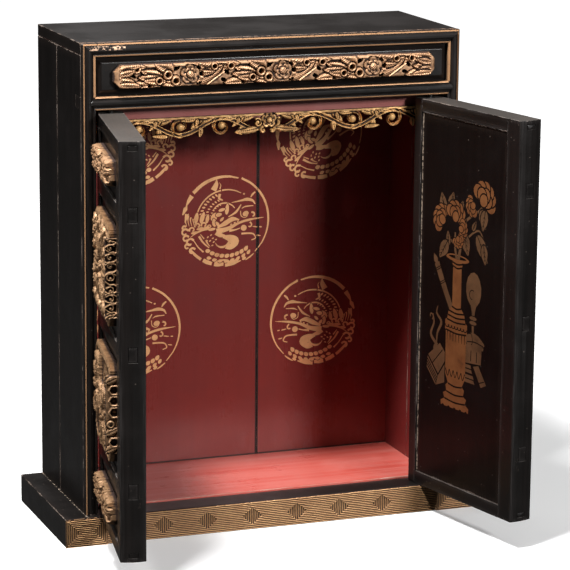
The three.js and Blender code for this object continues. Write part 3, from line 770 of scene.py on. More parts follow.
class Relief:
    """A carving as heights over a flat grid: U along, V up, height out of the wood. Open where pierced."""

    OPEN = -1.0
    groove = 0.9 * MM
    groove_depth = 2.2 * MM

    def __init__(self, width: float, height: float, step: float, finer: float = 1.0) -> None:
        """An empty grid, centred.

        Args:
            width: Its length along U.
            height: Its length along V.
            step: The spacing of the grid along U.
            finer: How many times finer it is along V.
        """
        self.step = step
        self.u = np.linspace(-width / 2, width / 2, round(width / step) + 1)
        self.v = np.linspace(-height / 2, height / 2, round(height * finer / step) + 1)
        self.h = np.full((len(self.v), len(self.u)), self.OPEN)

    def window(self, centre: Point, reach: float) -> tuple[tuple[slice, slice], np.ndarray, np.ndarray]:
        """The part of the grid near a point.

        Args:
            centre: The point.
            reach: Half the window's side.

        Returns:
            The window's slices, and U and V in it measured from the point.
        """
        columns = np.searchsorted(self.u, (centre[0] - reach, centre[0] + reach))
        rows = np.searchsorted(self.v, (centre[1] - reach, centre[1] + reach))
        part = (slice(*rows), slice(*columns))
        return part, self.u[None, part[1]] - centre[0], self.v[part[0], None] - centre[1]

    def raise_to(self, part: tuple[slice, slice], heights: np.ndarray, inside: np.ndarray) -> None:
        """Lifts the wood to new heights where they are higher."""
        self.h[part] = np.where(inside, np.maximum(self.h[part], heights), self.h[part])

    def lay(self, part: tuple[slice, slice], heights: np.ndarray, outside: np.ndarray) -> None:
        """Lays a shape over what is there and cuts a groove around it.

        Args:
            part: The window.
            heights: The shape's heights.
            outside: How far each place lies outside the shape, under 0 within it.
        """
        here = self.h[part]
        groove = (outside > 0) & (outside < self.groove) & (here > 0)
        here = np.where(groove, np.maximum(here - self.groove_depth, 0.3 * MM), here)
        self.h[part] = np.where(outside < 0, heights, here)

    def edge(self, cuts: tuple[float, float], notch: float = 0.0) -> np.ndarray:
        """How far each place lies in from the edge.

        Args:
            cuts: How much is cut off the corners, on the low and the high side of U.
            notch: The depth of small notches all along the edge.

        Returns:
            Distances, under 0 outside.
        """
        u, v = self.u[None, :], self.v[:, None]
        along, up = self.u[-1] - np.abs(u), self.v[-1] - np.abs(v)
        corner = 0.71 * (along + up - np.where(u > 0, cuts[1], cuts[0]))
        teeth = notch * (0.5 + 0.5 * np.cos(2 * np.pi * (u - v) / (2.8 * MM)))
        return np.minimum(np.minimum(along, up), corner) - teeth

    def trim(self, cuts: tuple[float, float], notch: float = 0.0) -> None:
        """Opens everything beyond the edge."""
        self.h = np.where(self.edge(cuts, notch) >= 0, self.h, self.OPEN)

    def dome(self, reach_u: float, reach_v: float, low: float) -> None:
        """Lowers the wood towards the grid's edges, as a cushion's.

        Args:
            reach_u: How far in from the ends it is lowered.
            reach_v: How far in from the top and bottom.
            low: The height kept at the edge, as a share.
        """
        u = np.clip((self.u[-1] - np.abs(self.u)) / reach_u, 0, 1)[None, :]
        v = np.clip((self.v[-1] - np.abs(self.v)) / reach_v, 0, 1)[:, None]
        share = np.sqrt(1 - (1 - u) ** 2) * np.sqrt(1 - (1 - v) ** 2)
        self.h = np.where(self.h > 0, self.h * (low + (1 - low) * share), self.h)

    def leaf(self, root: Point, angle: float, length: float, width: float, base: float, rise: float,
             bend: float = 0.0, lobes: int = 0, vein: float = 0.1) -> None:
        """A pointed leaf laid over what is there: two rounded halves with slanting veins.

        Args:
            root: Where it starts.
            angle: Its direction there, in degrees.
            length: Along its middle.
            width: At its broadest.
            base: The height of its edge.
            rise: How far its back stands above that.
            bend: How far it turns over its length, in degrees.
            lobes: Notches along its edge.
            vein: How deep its veins are, as a share of the rise.
        """
        part, u, v = self.window(root, length * 1.1)
        turn = math.radians(angle)
        a = u * math.cos(turn) + v * math.sin(turn)
        b = v * math.cos(turn) - u * math.sin(turn)
        if bend:
            side = math.copysign(1.0, bend)
            radius = length / abs(math.radians(bend))
            b = b * side
            a, b = (np.arctan2(a, radius - b) * radius, (radius - np.hypot(a, radius - b)) * side)
        t = np.clip(a / length, 0.0, 1.0)
        half = width / 2 * 2.38 * t**0.5 * (1 - t) ** 0.8 + 1e-6
        if lobes:
            half = half * (0.8 + 0.2 * np.abs(np.sin(np.pi * lobes * t)))
        x = np.clip(np.abs(b) / half, 0, 1)
        back = 0.3 + 0.7 * np.sin(np.pi * (0.17 + 0.83 * x)) + 0.12 * np.sign(b) * x
        back = back + vein * np.cos(2 * np.pi * (a - 0.8 * np.abs(b)) / (2.4 * MM))
        outside = np.maximum(np.abs(b) - half, np.maximum(-a, a - length))
        self.lay(part, base + rise * back * (0.75 + 0.25 * np.sin(np.pi * t)), outside)

    def lobe(self, centre: Point, radius: float, hole: float, base: float, rise: float) -> None:
        """A rounded ring, as of a rolled leaf, around a pierced hole.

        Args:
            centre: Its middle.
            radius: Its outer radius.
            hole: The hole's radius.
            base: The height of its edge.
            rise: How far its back stands above that.
        """
        part, u, v = self.window(centre, radius + self.groove)
        r = np.hypot(u, v)
        across = np.clip((r - hole) / (radius - hole), 0, 1)
        self.lay(part, base + rise * np.sin(np.pi * (0.15 + 0.8 * across)), r - radius)
        self.hole(centre, hole)

    def blossom(self, centre: Point, radius: float, base: float, rise: float,
                petals: int = 5, turn: float = 90.0) -> None:
        """An open blossom: two rings of cupped petals around a cross-hatched boss.

        Args:
            centre: Its middle.
            radius: To the tips of the outer petals.
            base: The height of its lowest edge.
            rise: How far the boss stands above that.
            petals: In each ring.
            turn: The direction of the first petal, in degrees.
        """
        part, u, v = self.window(centre, radius * 1.05)
        r = np.hypot(u, v)
        self.h[part] = np.where((r < radius * 1.02) & (self.h[part] > base), base, self.h[part])
        around = np.arctan2(v, u) - math.radians(turn)
        for ring, (share, lift) in enumerate(((1.0, 0.55), (0.68, 0.8))):
            phase = around - ring * math.pi / petals
            middle = np.abs(np.cos(petals * phase / 2))
            s = r / (radius * share * (0.74 + 0.26 * middle**0.8))
            cup = (0.12 + 0.88 * s**1.6) * (1 - np.clip(s, 0, 1) ** 14 * 0.8)
            seam = 1 - 0.55 * (1 - middle) ** 3
            self.raise_to(part, base + rise * lift * cup * seam, s < 1)
        s = r / (radius * 0.34)
        hatch = 0.05 * (np.cos((u + v) / radius * 26) + np.cos((u - v) / radius * 26))
        self.raise_to(part, base + rise * (0.62 + 0.38 * np.sqrt(np.clip(1 - s * s, 0, 1)) + hatch), s < 1)

    def bud(self, centre: Point, radius: float, base: float, rise: float) -> None:
        """A round bud.

        Args:
            centre: Its middle.
            radius: Its radius.
            base: The height of its edge.
            rise: How far its back stands above that.
        """
        part, u, v = self.window(centre, radius)
        s = np.hypot(u, v) / radius
        self.raise_to(part, base + rise * np.sqrt(np.clip(1 - s * s, 0, 1)), s < 1)

    def stem(self, points: Sequence[Point], radii: Sequence[float], base: float, rise: float,
             grooves: bool = False) -> None:
        """A stem that follows points, with its own half width at each.

        Args:
            points: Its middle line.
            radii: Half widths at the points.
            base: The height of its edge.
            rise: How far its back stands above that.
            grooves: Whether two grooves run along its back.
        """
        line = np.array(points)
        low, high = line.min(0), line.max(0)
        centre = tuple((low + high) / 2)
        part, u, v = self.window(centre, (high - low).max() / 2 + max(radii))
        x = np.full(self.h[part].shape, FAR)
        for start, end, first, last in zip(line - centre, line[1:] - centre, radii, radii[1:]):
            along = end - start
            du, dv = u - start[0], v - start[1]
            t = np.clip((du * along[0] + dv * along[1]) / max(along @ along, 1e-12), 0, 1)
            x = np.minimum(x, np.hypot(du - t * along[0], dv - t * along[1]) / (first + (last - first) * t))
        grooved = 0.1 + 0.9 * np.exp(-(((x - 0.74) / 0.19) ** 2))
        back = grooved if grooves else np.sqrt(np.clip(1 - x * x, 0, 1))
        self.raise_to(part, base + rise * back, x < 1)

    def curl(self, centre: Point, radius: float, start: float, turns: float, thickness: float, base: float,
             rise: float, inner: float = 0.18, grooves: bool = False, late: float = 1.0) -> None:
        """A stem that winds in to a bud.

        Args:
            centre: The bud's middle.
            radius: Where the winding starts.
            start: The direction of its start, in degrees.
            turns: How many turns, negative for clockwise.
            thickness: The stem's half width at its start.
            base: The height of its edge.
            rise: How far its back stands above that.
            inner: The last radius as a share of the first.
            grooves: Whether its back is grooved.
            late: Over 1 where it winds in only near its end.
        """
        count = max(8, round(abs(turns) * 22))
        share = np.linspace(0.0, 1.0, count)
        angle = math.radians(start) + share * turns * 2 * math.pi
        reach = radius * (1 - (1 - inner) * share**late)
        points = list(zip(centre[0] + reach * np.cos(angle), centre[1] + reach * np.sin(angle)))
        self.stem(points, list(thickness * (1 - 0.35 * share)), base, rise, grooves)
        self.bud(centre, max(radius * inner * 1.5, thickness * 1.1), base, rise * 1.15)

    def hole(self, centre: Point, radius: float, stretch: float = 1.0, angle: float = 0.0) -> None:
        """A pierced hole, round or stretched along a direction in degrees.

        Args:
            centre: Its middle.
            radius: Its radius across the stretch.
            stretch: How many times longer it is than wide.
            angle: The stretch's direction.
        """
        part, u, v = self.window(centre, radius * max(1.0, stretch))
        turn = math.radians(angle)
        a = (u * math.cos(turn) + v * math.sin(turn)) / stretch
        b = v * math.cos(turn) - u * math.sin(turn)
        self.h[part] = np.where(np.hypot(a, b) < radius, self.OPEN, self.h[part])

    def roughen(self, amount: float, size: float, seed: int) -> None:
        """Uneven tool work over the whole carving.

        Args:
            amount: How deep it goes.
            size: The width of one mark.
            seed: The seed.
        """
        shape = self.h.shape
        rows, columns = (max(2, round((line[-1] - line[0]) / size)) for line in (self.v, self.u))
        marks = soft_noise(shape, (rows, columns), seed)
        marks = marks + 0.5 * soft_noise(shape, (rows * 2, columns * 2), seed + 1)
        self.h = np.where(self.h > 0, np.maximum(self.h + amount * marks, 0.2 * MM), self.h)

    def cavity(self, reach: float, depth: float) -> np.ndarray:
        """How far each place stands out of (over 0) or lies below (under 0) what is around it."""
        # Pierced places count as the lowest wood, so the edges round a piercing read as proud and take the
        # painted highlight.
        solid = np.maximum(self.h, 0.0)
        return np.clip((solid - blurred(solid, max(1, round(reach / self.step)))) / depth, -1.0, 1.0)

    def build(self, name: str, place: Place, at: Corner, material: bpy.types.Material, back: bool = False,
              cavity_reach: float = 2.0 * MM, cavity_depth: float = 1.6 * MM) -> bpy.types.Object:
        """The carving as a mesh, its back in the plane of the point it stands at.

        Args:
            name: The object's name.
            place: The frame it stands in, facing -Y.
            at: The middle of its back.
            material: Its finish.
            back: Whether the back is closed too.
            cavity_reach: How wide an area a hollow is compared with.
            cavity_depth: The depth of a full hollow.

        Returns:
            The object.
        """
        solid = self.h > 0
        cell = solid[:-1, :-1] & solid[1:, :-1] & solid[:-1, 1:] & solid[1:, 1:]
        rows, columns = self.h.shape
        count = rows * columns
        number = np.arange(count).reshape(rows, columns)
        corner = [number[:-1, :-1], number[:-1, 1:], number[1:, 1:], number[1:, :-1]]
        faces = [np.stack([c[cell] for c in corner], 1)]
        fronts = len(faces[0])
        outside = np.pad(cell, 1)
        neighbours = (outside[:-2, 1:-1], outside[1:-1, 2:], outside[2:, 1:-1], outside[1:-1, :-2])
        for side, beyond in enumerate(neighbours):
            edge = cell & ~beyond
            first, second = corner[side][edge], corner[(side + 1) % 4][edge]
            faces.append(np.stack([first + count, first + 2 * count, second + 2 * count, second + count], 1))
        if back:
            faces.append(np.stack([c[cell] + 2 * count for c in corner[::-1]], 1))
        quads = np.concatenate(faces)
        u, v = np.meshgrid(self.u, self.v)
        front = np.stack([at[0] + u, at[1] - np.maximum(self.h, 0.0), at[2] + v], 2).reshape(-1, 3)
        rear = np.stack([at[0] + u, np.full_like(u, at[1]), at[2] + v], 2).reshape(-1, 3)
        hollow = self.cavity(cavity_reach, cavity_depth).ravel()
        # Walls read more hollow than the face above them and nearly fully hollow at the back, so the gilding
        # paints shade down them.
        values = np.concatenate([hollow, hollow - 0.15, hollow * 0 - 0.9])
        used, quads = np.unique(quads, return_inverse=True)
        smooth = np.arange(len(quads.reshape(-1, 4))) < fronts
        piece = new_object(name, np.concatenate([front, front, rear])[used], quads.reshape(-1, 4).tolist(),
                           place, [material], smooth=smooth)
        attribute = piece.data.attributes.new(CAVITY, "FLOAT", "POINT")
        attribute.data.foreach_set("value", values[used].astype(np.float32))
        return piece


def smooth_line(points: Sequence[Point], widths: Sequence[float], steps: int = 6) -> tuple[list, list]:
    """A curve through points, with widths that change evenly between them.

    Args:
        points: The points.
        widths: The width at each point, or one at the first and one at the last.
        steps: Pieces between two points.

    Returns:
        The curve's points and widths.
    """
    p = np.array(points, float)
    p = np.vstack([2 * p[0] - p[1], p, 2 * p[-1] - p[-2]])
    w = np.interp(np.arange(len(points)), np.linspace(0, len(points) - 1, len(widths)), widths)
    out = []
    for i in range(len(points) - 1):
        a, b, c, d = p[i:i + 4]
        for t in np.arange(steps) / steps:
            curve = b * 2 + (c - a) * t + (2 * a - 5 * b + 4 * c - d) * t**2 + (3 * b - a - 3 * c + d) * t**3
            out.append(curve / 2)
    out.append(p[-2])
    sizes = np.interp(np.linspace(0, len(points) - 1, len(out)), np.arange(len(points)), w)
    return out, list(sizes)


class Painting:
    """Flat painted shapes on the face of a board. Later ones cover earlier ones."""

    GROUND = 0

    def __init__(self) -> None:
        """An empty painting."""
        self.shapes: list[tuple[int, list[Point]]] = []

    def face(self, low: Point, high: Point) -> tuple[list[Point], list[tuple[int, ...]], list[int]]:
        """The face of a board cut along the outlines of the shapes.

        Args:
            low: The face's low corner.
            high: Its high corner.

        Returns:
            Points, triangles, and the ink of each triangle.
        """
        edge = [low, (high[0], low[1]), high, (low[0], high[1])]
        near = [s for s in self.shapes
                if max(p[0] for p in s[1]) > low[0] and min(p[0] for p in s[1]) < high[0]]
        points: list[Vector] = []
        sides: list[Point] = []
        for outline in [edge] + [outline for _, outline in near]:
            first, count = len(points), len(outline)
            sides += [(first + i, first + (i + 1) % count) for i in range(count)]
            points += [Vector(p) / MM for p in outline]
        found, _, triangles, _, _, _ = delaunay_2d_cdt(points, sides, [], 0, 1e-4)
        corners = np.array([tuple(v * MM) for v in found])
        triangles = np.array(triangles)
        middles = corners[triangles].mean(1)
        inks = np.full(len(triangles), self.GROUND)
        for ink, outline in near:
            inks[inside_of(middles, np.array(outline))] = ink
        kept = inside_of(middles, np.array(edge))
        return corners.tolist(), triangles[kept].tolist(), inks[kept].tolist()


def inside_of(places: np.ndarray, outline: np.ndarray) -> np.ndarray:
    """Which places an outline winds around.

    Args:
        places: Places to test.
        outline: The closed outline's corners.

    Returns:
        One truth value for each place.
    """
    box = ((places > outline.min(0)) & (places < outline.max(0))).all(1)
    x, y = places[box].T[:, :, None]
    ax, ay = outline.T
    bx, by = np.roll(outline, -1, 0).T
    left = (bx - ax) * (y - ay) - (x - ax) * (by - ay)
    turns = ((ay <= y) & (by > y) & (left > 0)).sum(1) - ((ay > y) & (by <= y) & (left < 0)).sum(1)
    found = np.zeros(len(places), bool)
    found[box] = turns != 0
    return found


@dataclass(frozen=True)
class Brush:
    """Paints shapes with one ink, in shares of its size around a centre."""

    painting: Painting
    ink: int
    centre: Point
    size: float
    turn: float = 0.0
    mirrored: bool = False

    def with_ink(self, ink: int) -> "Brush":
        """The same brush with another ink."""
        return Brush(self.painting, ink, self.centre, self.size, self.turn, self.mirrored)

    def fill(self, outline: Iterable[Point]) -> None:
        """A filled outline.

        Args:
            outline: Its corners.
        """
        angle = math.radians(self.turn)
        c, s = math.cos(angle), math.sin(angle)
        flip = -1.0 if self.mirrored else 1.0
        placed = []
        for x, y in outline:
            x, y = flip * x * self.size, y * self.size
            placed.append((self.centre[0] + c * x - s * y, self.centre[1] + s * x + c * y))
        area = sum(a[0] * b[1] - b[0] * a[1] for a, b in zip(placed, placed[1:] + placed[:1]))
        self.painting.shapes.append((self.ink, placed if area > 0 else placed[::-1]))

    def stroke(self, points: Sequence[Point], widths: Sequence[float]) -> None:
        """A stroke along a curve, with a width at each point or at its two ends.

        Args:
            points: The curve's points.
            widths: The widths.
        """
        line, sizes = smooth_line(points, widths)
        line = np.array(line)
        along = np.gradient(line, axis=0)
        along /= np.maximum(np.hypot(along[:, 0], along[:, 1]), 1e-9)[:, None]
        side = np.stack([-along[:, 1], along[:, 0]], 1) * np.array(sizes)[:, None] / 2
        self.fill([tuple(p) for p in np.vstack([line + side, (line - side)[::-1]])])

    def arc(self, radius: float, start: float, end: float, widths: Sequence[float],
            centre: Point = (0.0, 0.0)) -> None:
        """A stroke along a circle, between two directions in degrees.

        Args:
            radius: The circle's radius.
            start: The first direction.
            end: The last direction.
            widths: Widths at even steps along it.
            centre: The circle's middle.
        """
        count = max(3, round(abs(end - start) / 14) + 1)
        points = [polar(centre, radius, a) for a in np.linspace(start, end, count)]
        self.stroke(points, widths)

    def blob(self, centre: Point, length: float, width: float, angle: float = 0.0, point: float = 0.0,
             line: float = 0.0) -> None:
        """An oval, more pointed at its far end as point goes to 1, with a line of the ground around it.

        Args:
            centre: Its middle.
            length: Its length.
            width: Its width.
            angle: Its direction in degrees.
            point: How pointed it is.
            line: The line's width.
        """
        if line:
            self.with_ink(Painting.GROUND).blob(centre, length + 2 * line, width + 2 * line, angle, point)
        outline = []
        for a in np.linspace(0, 2 * math.pi, 14, endpoint=False):
            x = length / 2 * math.cos(a)
            y = width / 2 * math.sin(a) * (1 - point * max(0.0, math.cos(a)))
            r = math.radians(angle)
            outline.append((centre[0] + x * math.cos(r) - y * math.sin(r),
                            centre[1] + x * math.sin(r) + y * math.cos(r)))
        self.fill(outline)

    def spiral(self, centre: Point, radius: float, start: float, turns: float, width: float) -> None:
        """A stroke that winds in from a circle.

        Args:
            centre: The circle's middle.
            radius: Its radius.
            start: The direction of its start.
            turns: How many turns, under 0 for clockwise.
            width: The stroke's width at its start.
        """
        share = np.linspace(0, 1, max(5, round(abs(turns) * 9)))
        points = [polar(centre, radius * (1 - 0.72 * s), start + 360 * turns * s) for s in share]
        self.stroke(points, (width, width * 0.7))

    def scales(self, radius: float, start: float, end: float, count: int, length: float, height: float,
               centre: Point = (0.0, 0.0)) -> None:
        """A row of rounded scales along a circle.

        Args:
            radius: The circle's radius.
            start: The first direction.
            end: The last direction.
            count: How many scales.
            length: A scale's length.
            height: A scale's width.
            centre: The circle's middle.
        """
        for a in np.linspace(start, end, count):
            direction = a + math.copysign(90.0, end - start)
            self.blob(polar(centre, radius, a), length, height, direction + 20, 0.4, 0.014)


def polar(centre: Point, radius: float, degrees: float) -> Point:
    """The point at a distance from another, in a direction in degrees."""
    angle = math.radians(degrees)
    return (centre[0] + radius * math.cos(angle), centre[1] + radius * math.sin(angle))


def stand_in(piece: bpy.types.Object, node: str) -> None:
    """Puts a piece in the place of a solid.

    Args:
        piece: The piece.
        node: The solid.
    """
    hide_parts(node)
    log.info("%s: %d faces, in the place of %s", piece.name, len(piece.data.polygons), node)


def soften(piece: bpy.types.Object, width: float) -> bpy.types.Modifier:
    """Softens a piece's edges so that they catch light.

    Args:
        piece: The piece.
        width: The width of the softened edge.

    Returns:
        The modifier that does it.
    """
    bevel = piece.modifiers.new("soft edges", "BEVEL")
    bevel.width = width
    bevel.segments = 2
    return bevel


def dress_board(node: str, place: Place, finish: Lacquer, grain: Grain, regions: Sequence[Region] = (),
                edge: float = 0.6 * MM) -> None:
    """Gives a solid its finish, and softens its edges so that they catch light.

    Args:
        node: The solid's name.
        place: The frame in which it is square.
        finish: Its lacquer.
        grain: Which way its wood runs.
        regions: Coats that cover parts of it.
        edge: The width of the softened edge.
    """
    piece = frame["nodes"][node]
    material = finish.material(place, *place.box(node), grain, regions, node)
    for slot in piece.material_slots:
        slot.material = material
    weld = piece.modifiers.new("weld", "WELD")
    weld.merge_threshold = 0.01 * MM
    bevel = soften(piece, edge)
    bevel.limit_method = "ANGLE"
    bevel.angle_limit = math.radians(40)
    log.info("%s: %s with softened edges", node, finish.name)


def painted_board(name: str, place: Place, node: str, painting: Painting,
                  materials: Sequence[bpy.types.Material], facing: float = -1.0,
                  laps: Span = (0.0, 0.0)) -> None:
    """A board that stands for a solid, with painting on its face.

    Args:
        name: The new piece's name.
        place: The frame in which the board is square.
        node: The solid that it replaces.
        painting: The painting, as X and Z in that frame.
        materials: The ground's finish, then one for each ink.
        facing: -1 for a face towards -Y, 1 for one towards +Y.
        laps: How far the back reaches out past the face, at low and at high X.
    """
    low, high = place.box(node)
    front, rear = (low.y, high.y) if facing < 0 else (high.y, low.y)
    flat, triangles, inks = painting.face((low.x, low.z), (high.x, high.z))
    points = [(u, front, v) for u, v in flat]
    faces = [t if facing < 0 else t[::-1] for t in triangles]
    first = len(points)
    for y, left, right in ((front, low.x, high.x), (rear, low.x - laps[0], high.x + laps[1])):
        points += [(left, y, low.z), (right, y, low.z), (right, y, high.z), (left, y, high.z)]
    for i in range(4):
        j = (i + 1) % 4
        side = (first + j, first + i, first + 4 + i, first + 4 + j)
        faces.append(side if facing < 0 else side[::-1])
    back = (first + 7, first + 6, first + 5, first + 4)
    faces.append(back if facing < 0 else back[::-1])
    piece = new_object(name, np.array(points), faces, place, materials, inks + [0] * 5)
    stand_in(piece, node)


def carve(relief: Relief, node: str, place: Place, finish: Gilding, back: bool = False,
          shift: float = 0.0) -> None:
    """Stands a carving where its solid is, and replaces it.

    Args:
        relief: The carving.
        node: The solid.
        place: The frame in which the solid is square.
        finish: The gilding.
        back: Whether its back shows.
        shift: How far along X it stands from the solid's middle.
    """
    low, high = place.box(node)
    middle = (low + high) / 2
    piece = relief.build(node + "_relief", place, (middle.x + shift, high.y, middle.z), finish.material(),
                         back)
    stand_in(piece, node)


@dataclass
class DragonRoundel:
    """A curled dragon in a ring, in gold on the red back wall. Lengths are shares of its radius."""

    centre: Point
    radius: float = 54.5 * MM
    turn: float = 0.0
    mirrored: bool = False
    ring: Sequence[tuple[float, float, float, float]] = (
        (72, 138, 0.03, 0.075), (142, 158, 0.1, 0.02), (-46, 68, 0.02, 0.045), (215, 236, 0.03, 0.06),
        (239, 252, 0.08, 0.07), (255, 268, 0.12, 0.06), (270, 292, 0.09, 0.02), (-62, -49, 0.02, 0.02),
    )

    def paint(self, painting: Painting, ink: int) -> None:
        """Paints the roundel.

        Args:
            painting: The wall's painting.
            ink: The gold ink.
        """
        brush = Brush(painting, ink, self.centre, self.radius, self.turn, self.mirrored)
        self.paint_ring(brush)
        self.paint_head(brush)
        self.paint_body(brush)
        self.paint_tail(brush)

    def paint_ring(self, brush: Brush) -> None:
        """The outer ring of strokes and the inner arcs with rows of dashes.

        Args:
            brush: The brush of its main ink.
        """
        for start, end, first, last in self.ring:
            brush.arc(0.975 - max(first, last) / 2, start, end, (first, (first + last) / 2 + 0.015, last))
        brush.arc(0.66, 60, 98, (0.02, 0.035), (0.02, 0.0))
        brush.arc(0.66, 100, 172, (0.035, 0.025), (0.02, 0.0))
        brush.arc(0.66, 206, 236, (0.05, 0.02), (0.02, 0.0))
        brush.arc(0.80, 208, 232, (0.015, 0.035), (0.02, 0.0))
        for radius, count, size in ((0.57, 9, 0.075), (0.45, 8, 0.06), (0.35, 7, 0.05)):
            for a in np.linspace(112, 172, count):
                brush.blob(polar((0.02, 0.02), radius, a), size, size * 0.5, a + 25)

    def paint_head(self, brush: Brush) -> None:
        """The horn, mane, eye, snout, pearl and whiskers.

        Args:
            brush: The brush of its main ink.
        """
        brush.stroke([(-0.26, 0.66), (-0.2, 0.78), (-0.19, 0.9)], (0.13, 0.1, 0.005))
        brush.stroke([(-0.12, 0.68), (-0.1, 0.76), (-0.13, 0.82)], (0.03, 0.005))
        brush.stroke([(-0.12, 0.58), (-0.13, 0.48), (-0.05, 0.44)], (0.06, 0.05, 0.02))
        brush.arc(0.28, 35, 150, (0.02, 0.035, 0.015), (-0.02, 0.1))
        for x, y, length, width, angle in (
                (-0.63, 0.1, 0.24, 0.1, 80), (-0.5, 0.1, 0.25, 0.1, 72), (-0.39, 0.07, 0.2, 0.08, 80),
                (-0.24, 0.1, 0.2, 0.14, 60), (-0.14, 0.14, 0.14, 0.09, 10), (0.04, 0.25, 0.24, 0.09, 84),
                (-0.07, 0.24, 0.16, 0.07, 15), (-0.24, -0.02, 0.18, 0.1, 100),
                (-0.17, -0.05, 0.12, 0.07, 130), (-0.07, 0.04, 0.12, 0.06, 45)):
            brush.blob((x, y), length, width, angle, 0.3, 0.016)
        brush.stroke([(-0.17, -0.13), (0.0, -0.05), (0.16, 0.03), (0.31, 0.01)], (0.04, 0.1, 0.1, 0.02))
        brush.stroke([(-0.19, -0.21), (0.05, -0.17), (0.3, -0.06), (0.55, 0.0), (0.86, 0.03)],
                     (0.12, 0.09, 0.05, 0.05, 0.005))
        brush.stroke([(0.09, -0.21), (0.22, -0.2), (0.33, -0.17)], (0.06, 0.03, 0.02))
        for x in (0.13, 0.21, 0.28):
            brush.blob((x, -0.08 + (x - 0.13) * 0.4), 0.05, 0.03, 30)
        brush.stroke([(0.07, 0.08), (0.24, 0.18), (0.35, 0.33)], (0.02, 0.05, 0.02))
        brush.stroke([(0.14, 0.38), (0.34, 0.41), (0.48, 0.43), (0.6, 0.4), (0.66, 0.32)],
                     (0.01, 0.04, 0.07, 0.05, 0.02))
        brush.stroke([(0.56, 0.47), (0.6, 0.53), (0.66, 0.58)], (0.02, 0.045, 0.03))
        brush.stroke([(0.36, 0.24), (0.44, 0.28), (0.62, 0.29)], (0.01, 0.03, 0.02))
        brush.blob((0.41, 0.55), 0.05, 0.04)
        brush.blob((0.45, 0.13), 0.14, 0.11, 20)
        brush.spiral((0.45, 0.13), 0.13, 150, 0.6, 0.02)
        brush.spiral((0.6, 0.09), 0.07, 110, -0.55, 0.04)
        brush.blob((0.41, -0.17), 0.13, 0.13, 40)
        brush.spiral((0.53, -0.12), 0.07, 80, -0.6, 0.035)
        brush.stroke([(0.36, -0.29), (0.5, -0.29), (0.62, -0.31), (0.67, -0.4), (0.58, -0.44)],
                     (0.04, 0.03, 0.02))
        for x, y, length in ((0.66, -0.16, 0.12), (0.78, -0.17, 0.06), (0.74, -0.35, 0.1)):
            brush.blob((x, y), length, 0.025, -10)

    def paint_body(self, brush: Brush) -> None:
        """The breast, the smooth belly and the fins with their curls.

        Args:
            brush: The brush of its main ink.
        """
        brush.stroke([(-0.19, -0.22), (-0.1, -0.29), (0.02, -0.32)], (0.14, 0.1, 0.03))
        brush.stroke([(-0.05, -0.33), (0.1, -0.37), (0.2, -0.44), (0.1, -0.54), (0.0, -0.58)],
                     (0.05, 0.15, 0.22, 0.17, 0.01))
        brush.arc(0.15, 200, 350, (0.01, 0.05, 0.02), (-0.07, -0.4))
        brush.stroke([(-0.76, -0.3), (-0.6, -0.2), (-0.4, -0.15), (-0.25, -0.17)], (0.01, 0.04, 0.04, 0.02))
        for x, y, size in ((-0.72, -0.15, 0.1), (-0.6, -0.07, 0.1), (-0.46, -0.06, 0.1), (-0.34, -0.1, 0.07)):
            brush.spiral((x, y), size * 0.7, 200, -0.8, size * 0.4)
            brush.blob((x + 0.05, y - 0.06), 0.16, 0.06, 8)
        for x, y, size in ((-0.88, -0.2, 0.09), (-0.86, -0.33, 0.08), (-0.77, -0.42, 0.1),
                           (-0.83, -0.5, 0.07), (-0.72, -0.6, 0.08), (-0.9, -0.1, 0.05)):
            brush.spiral((x, y), size, 30, 0.85, 0.045)
        for i in range(5):
            x = -0.86 + 0.055 * i
            brush.stroke([(x, 0.2 - 0.04 * i), (x - 0.01, 0.06), (x + 0.02, -0.07)], (0.04, 0.01))
        brush.stroke([(-0.93, 0.18), (-0.87, 0.3), (-0.83, 0.36)], (0.03, 0.09, 0.01))
        brush.stroke([(-0.88, 0.02), (-0.84, 0.14), (-0.8, 0.2)], (0.02, 0.08, 0.01))
        for x, y in ((-0.38, -0.32), (-0.31, -0.28), (-0.27, -0.35), (-0.33, -0.4), (-0.25, -0.43),
                     (-0.4, -0.4), (-0.2, -0.38), (-0.28, -0.5)):
            brush.blob((x, y), 0.05, 0.03, 40 * x / y)
        brush.stroke([(-0.42, -0.38), (-0.38, -0.46), (-0.33, -0.52)], (0.04, 0.01))
        brush.stroke([(-0.54, -0.25), (-0.5, -0.3), (-0.46, -0.35)], (0.015, 0.03))

    def paint_tail(self, brush: Brush) -> None:
        """The scaled tail along the ring's foot, in two rows.

        Args:
            brush: The brush of its main ink.
        """
        brush.scales(0.74, 236, 305, 9, 0.12, 0.09, (0.04, 0.0))
        brush.scales(0.85, 244, 306, 8, 0.11, 0.075, (0.02, 0.0))
        brush.stroke([(-0.18, -0.84), (0.0, -0.83), (0.18, -0.9), (0.3, -0.84)], (0.02, 0.05, 0.02))
        brush.stroke([(0.05, -0.88), (0.2, -0.86), (0.3, -0.8)], (0.02, 0.05))
        brush.blob((0.42, -0.82), 0.1, 0.06, 30)


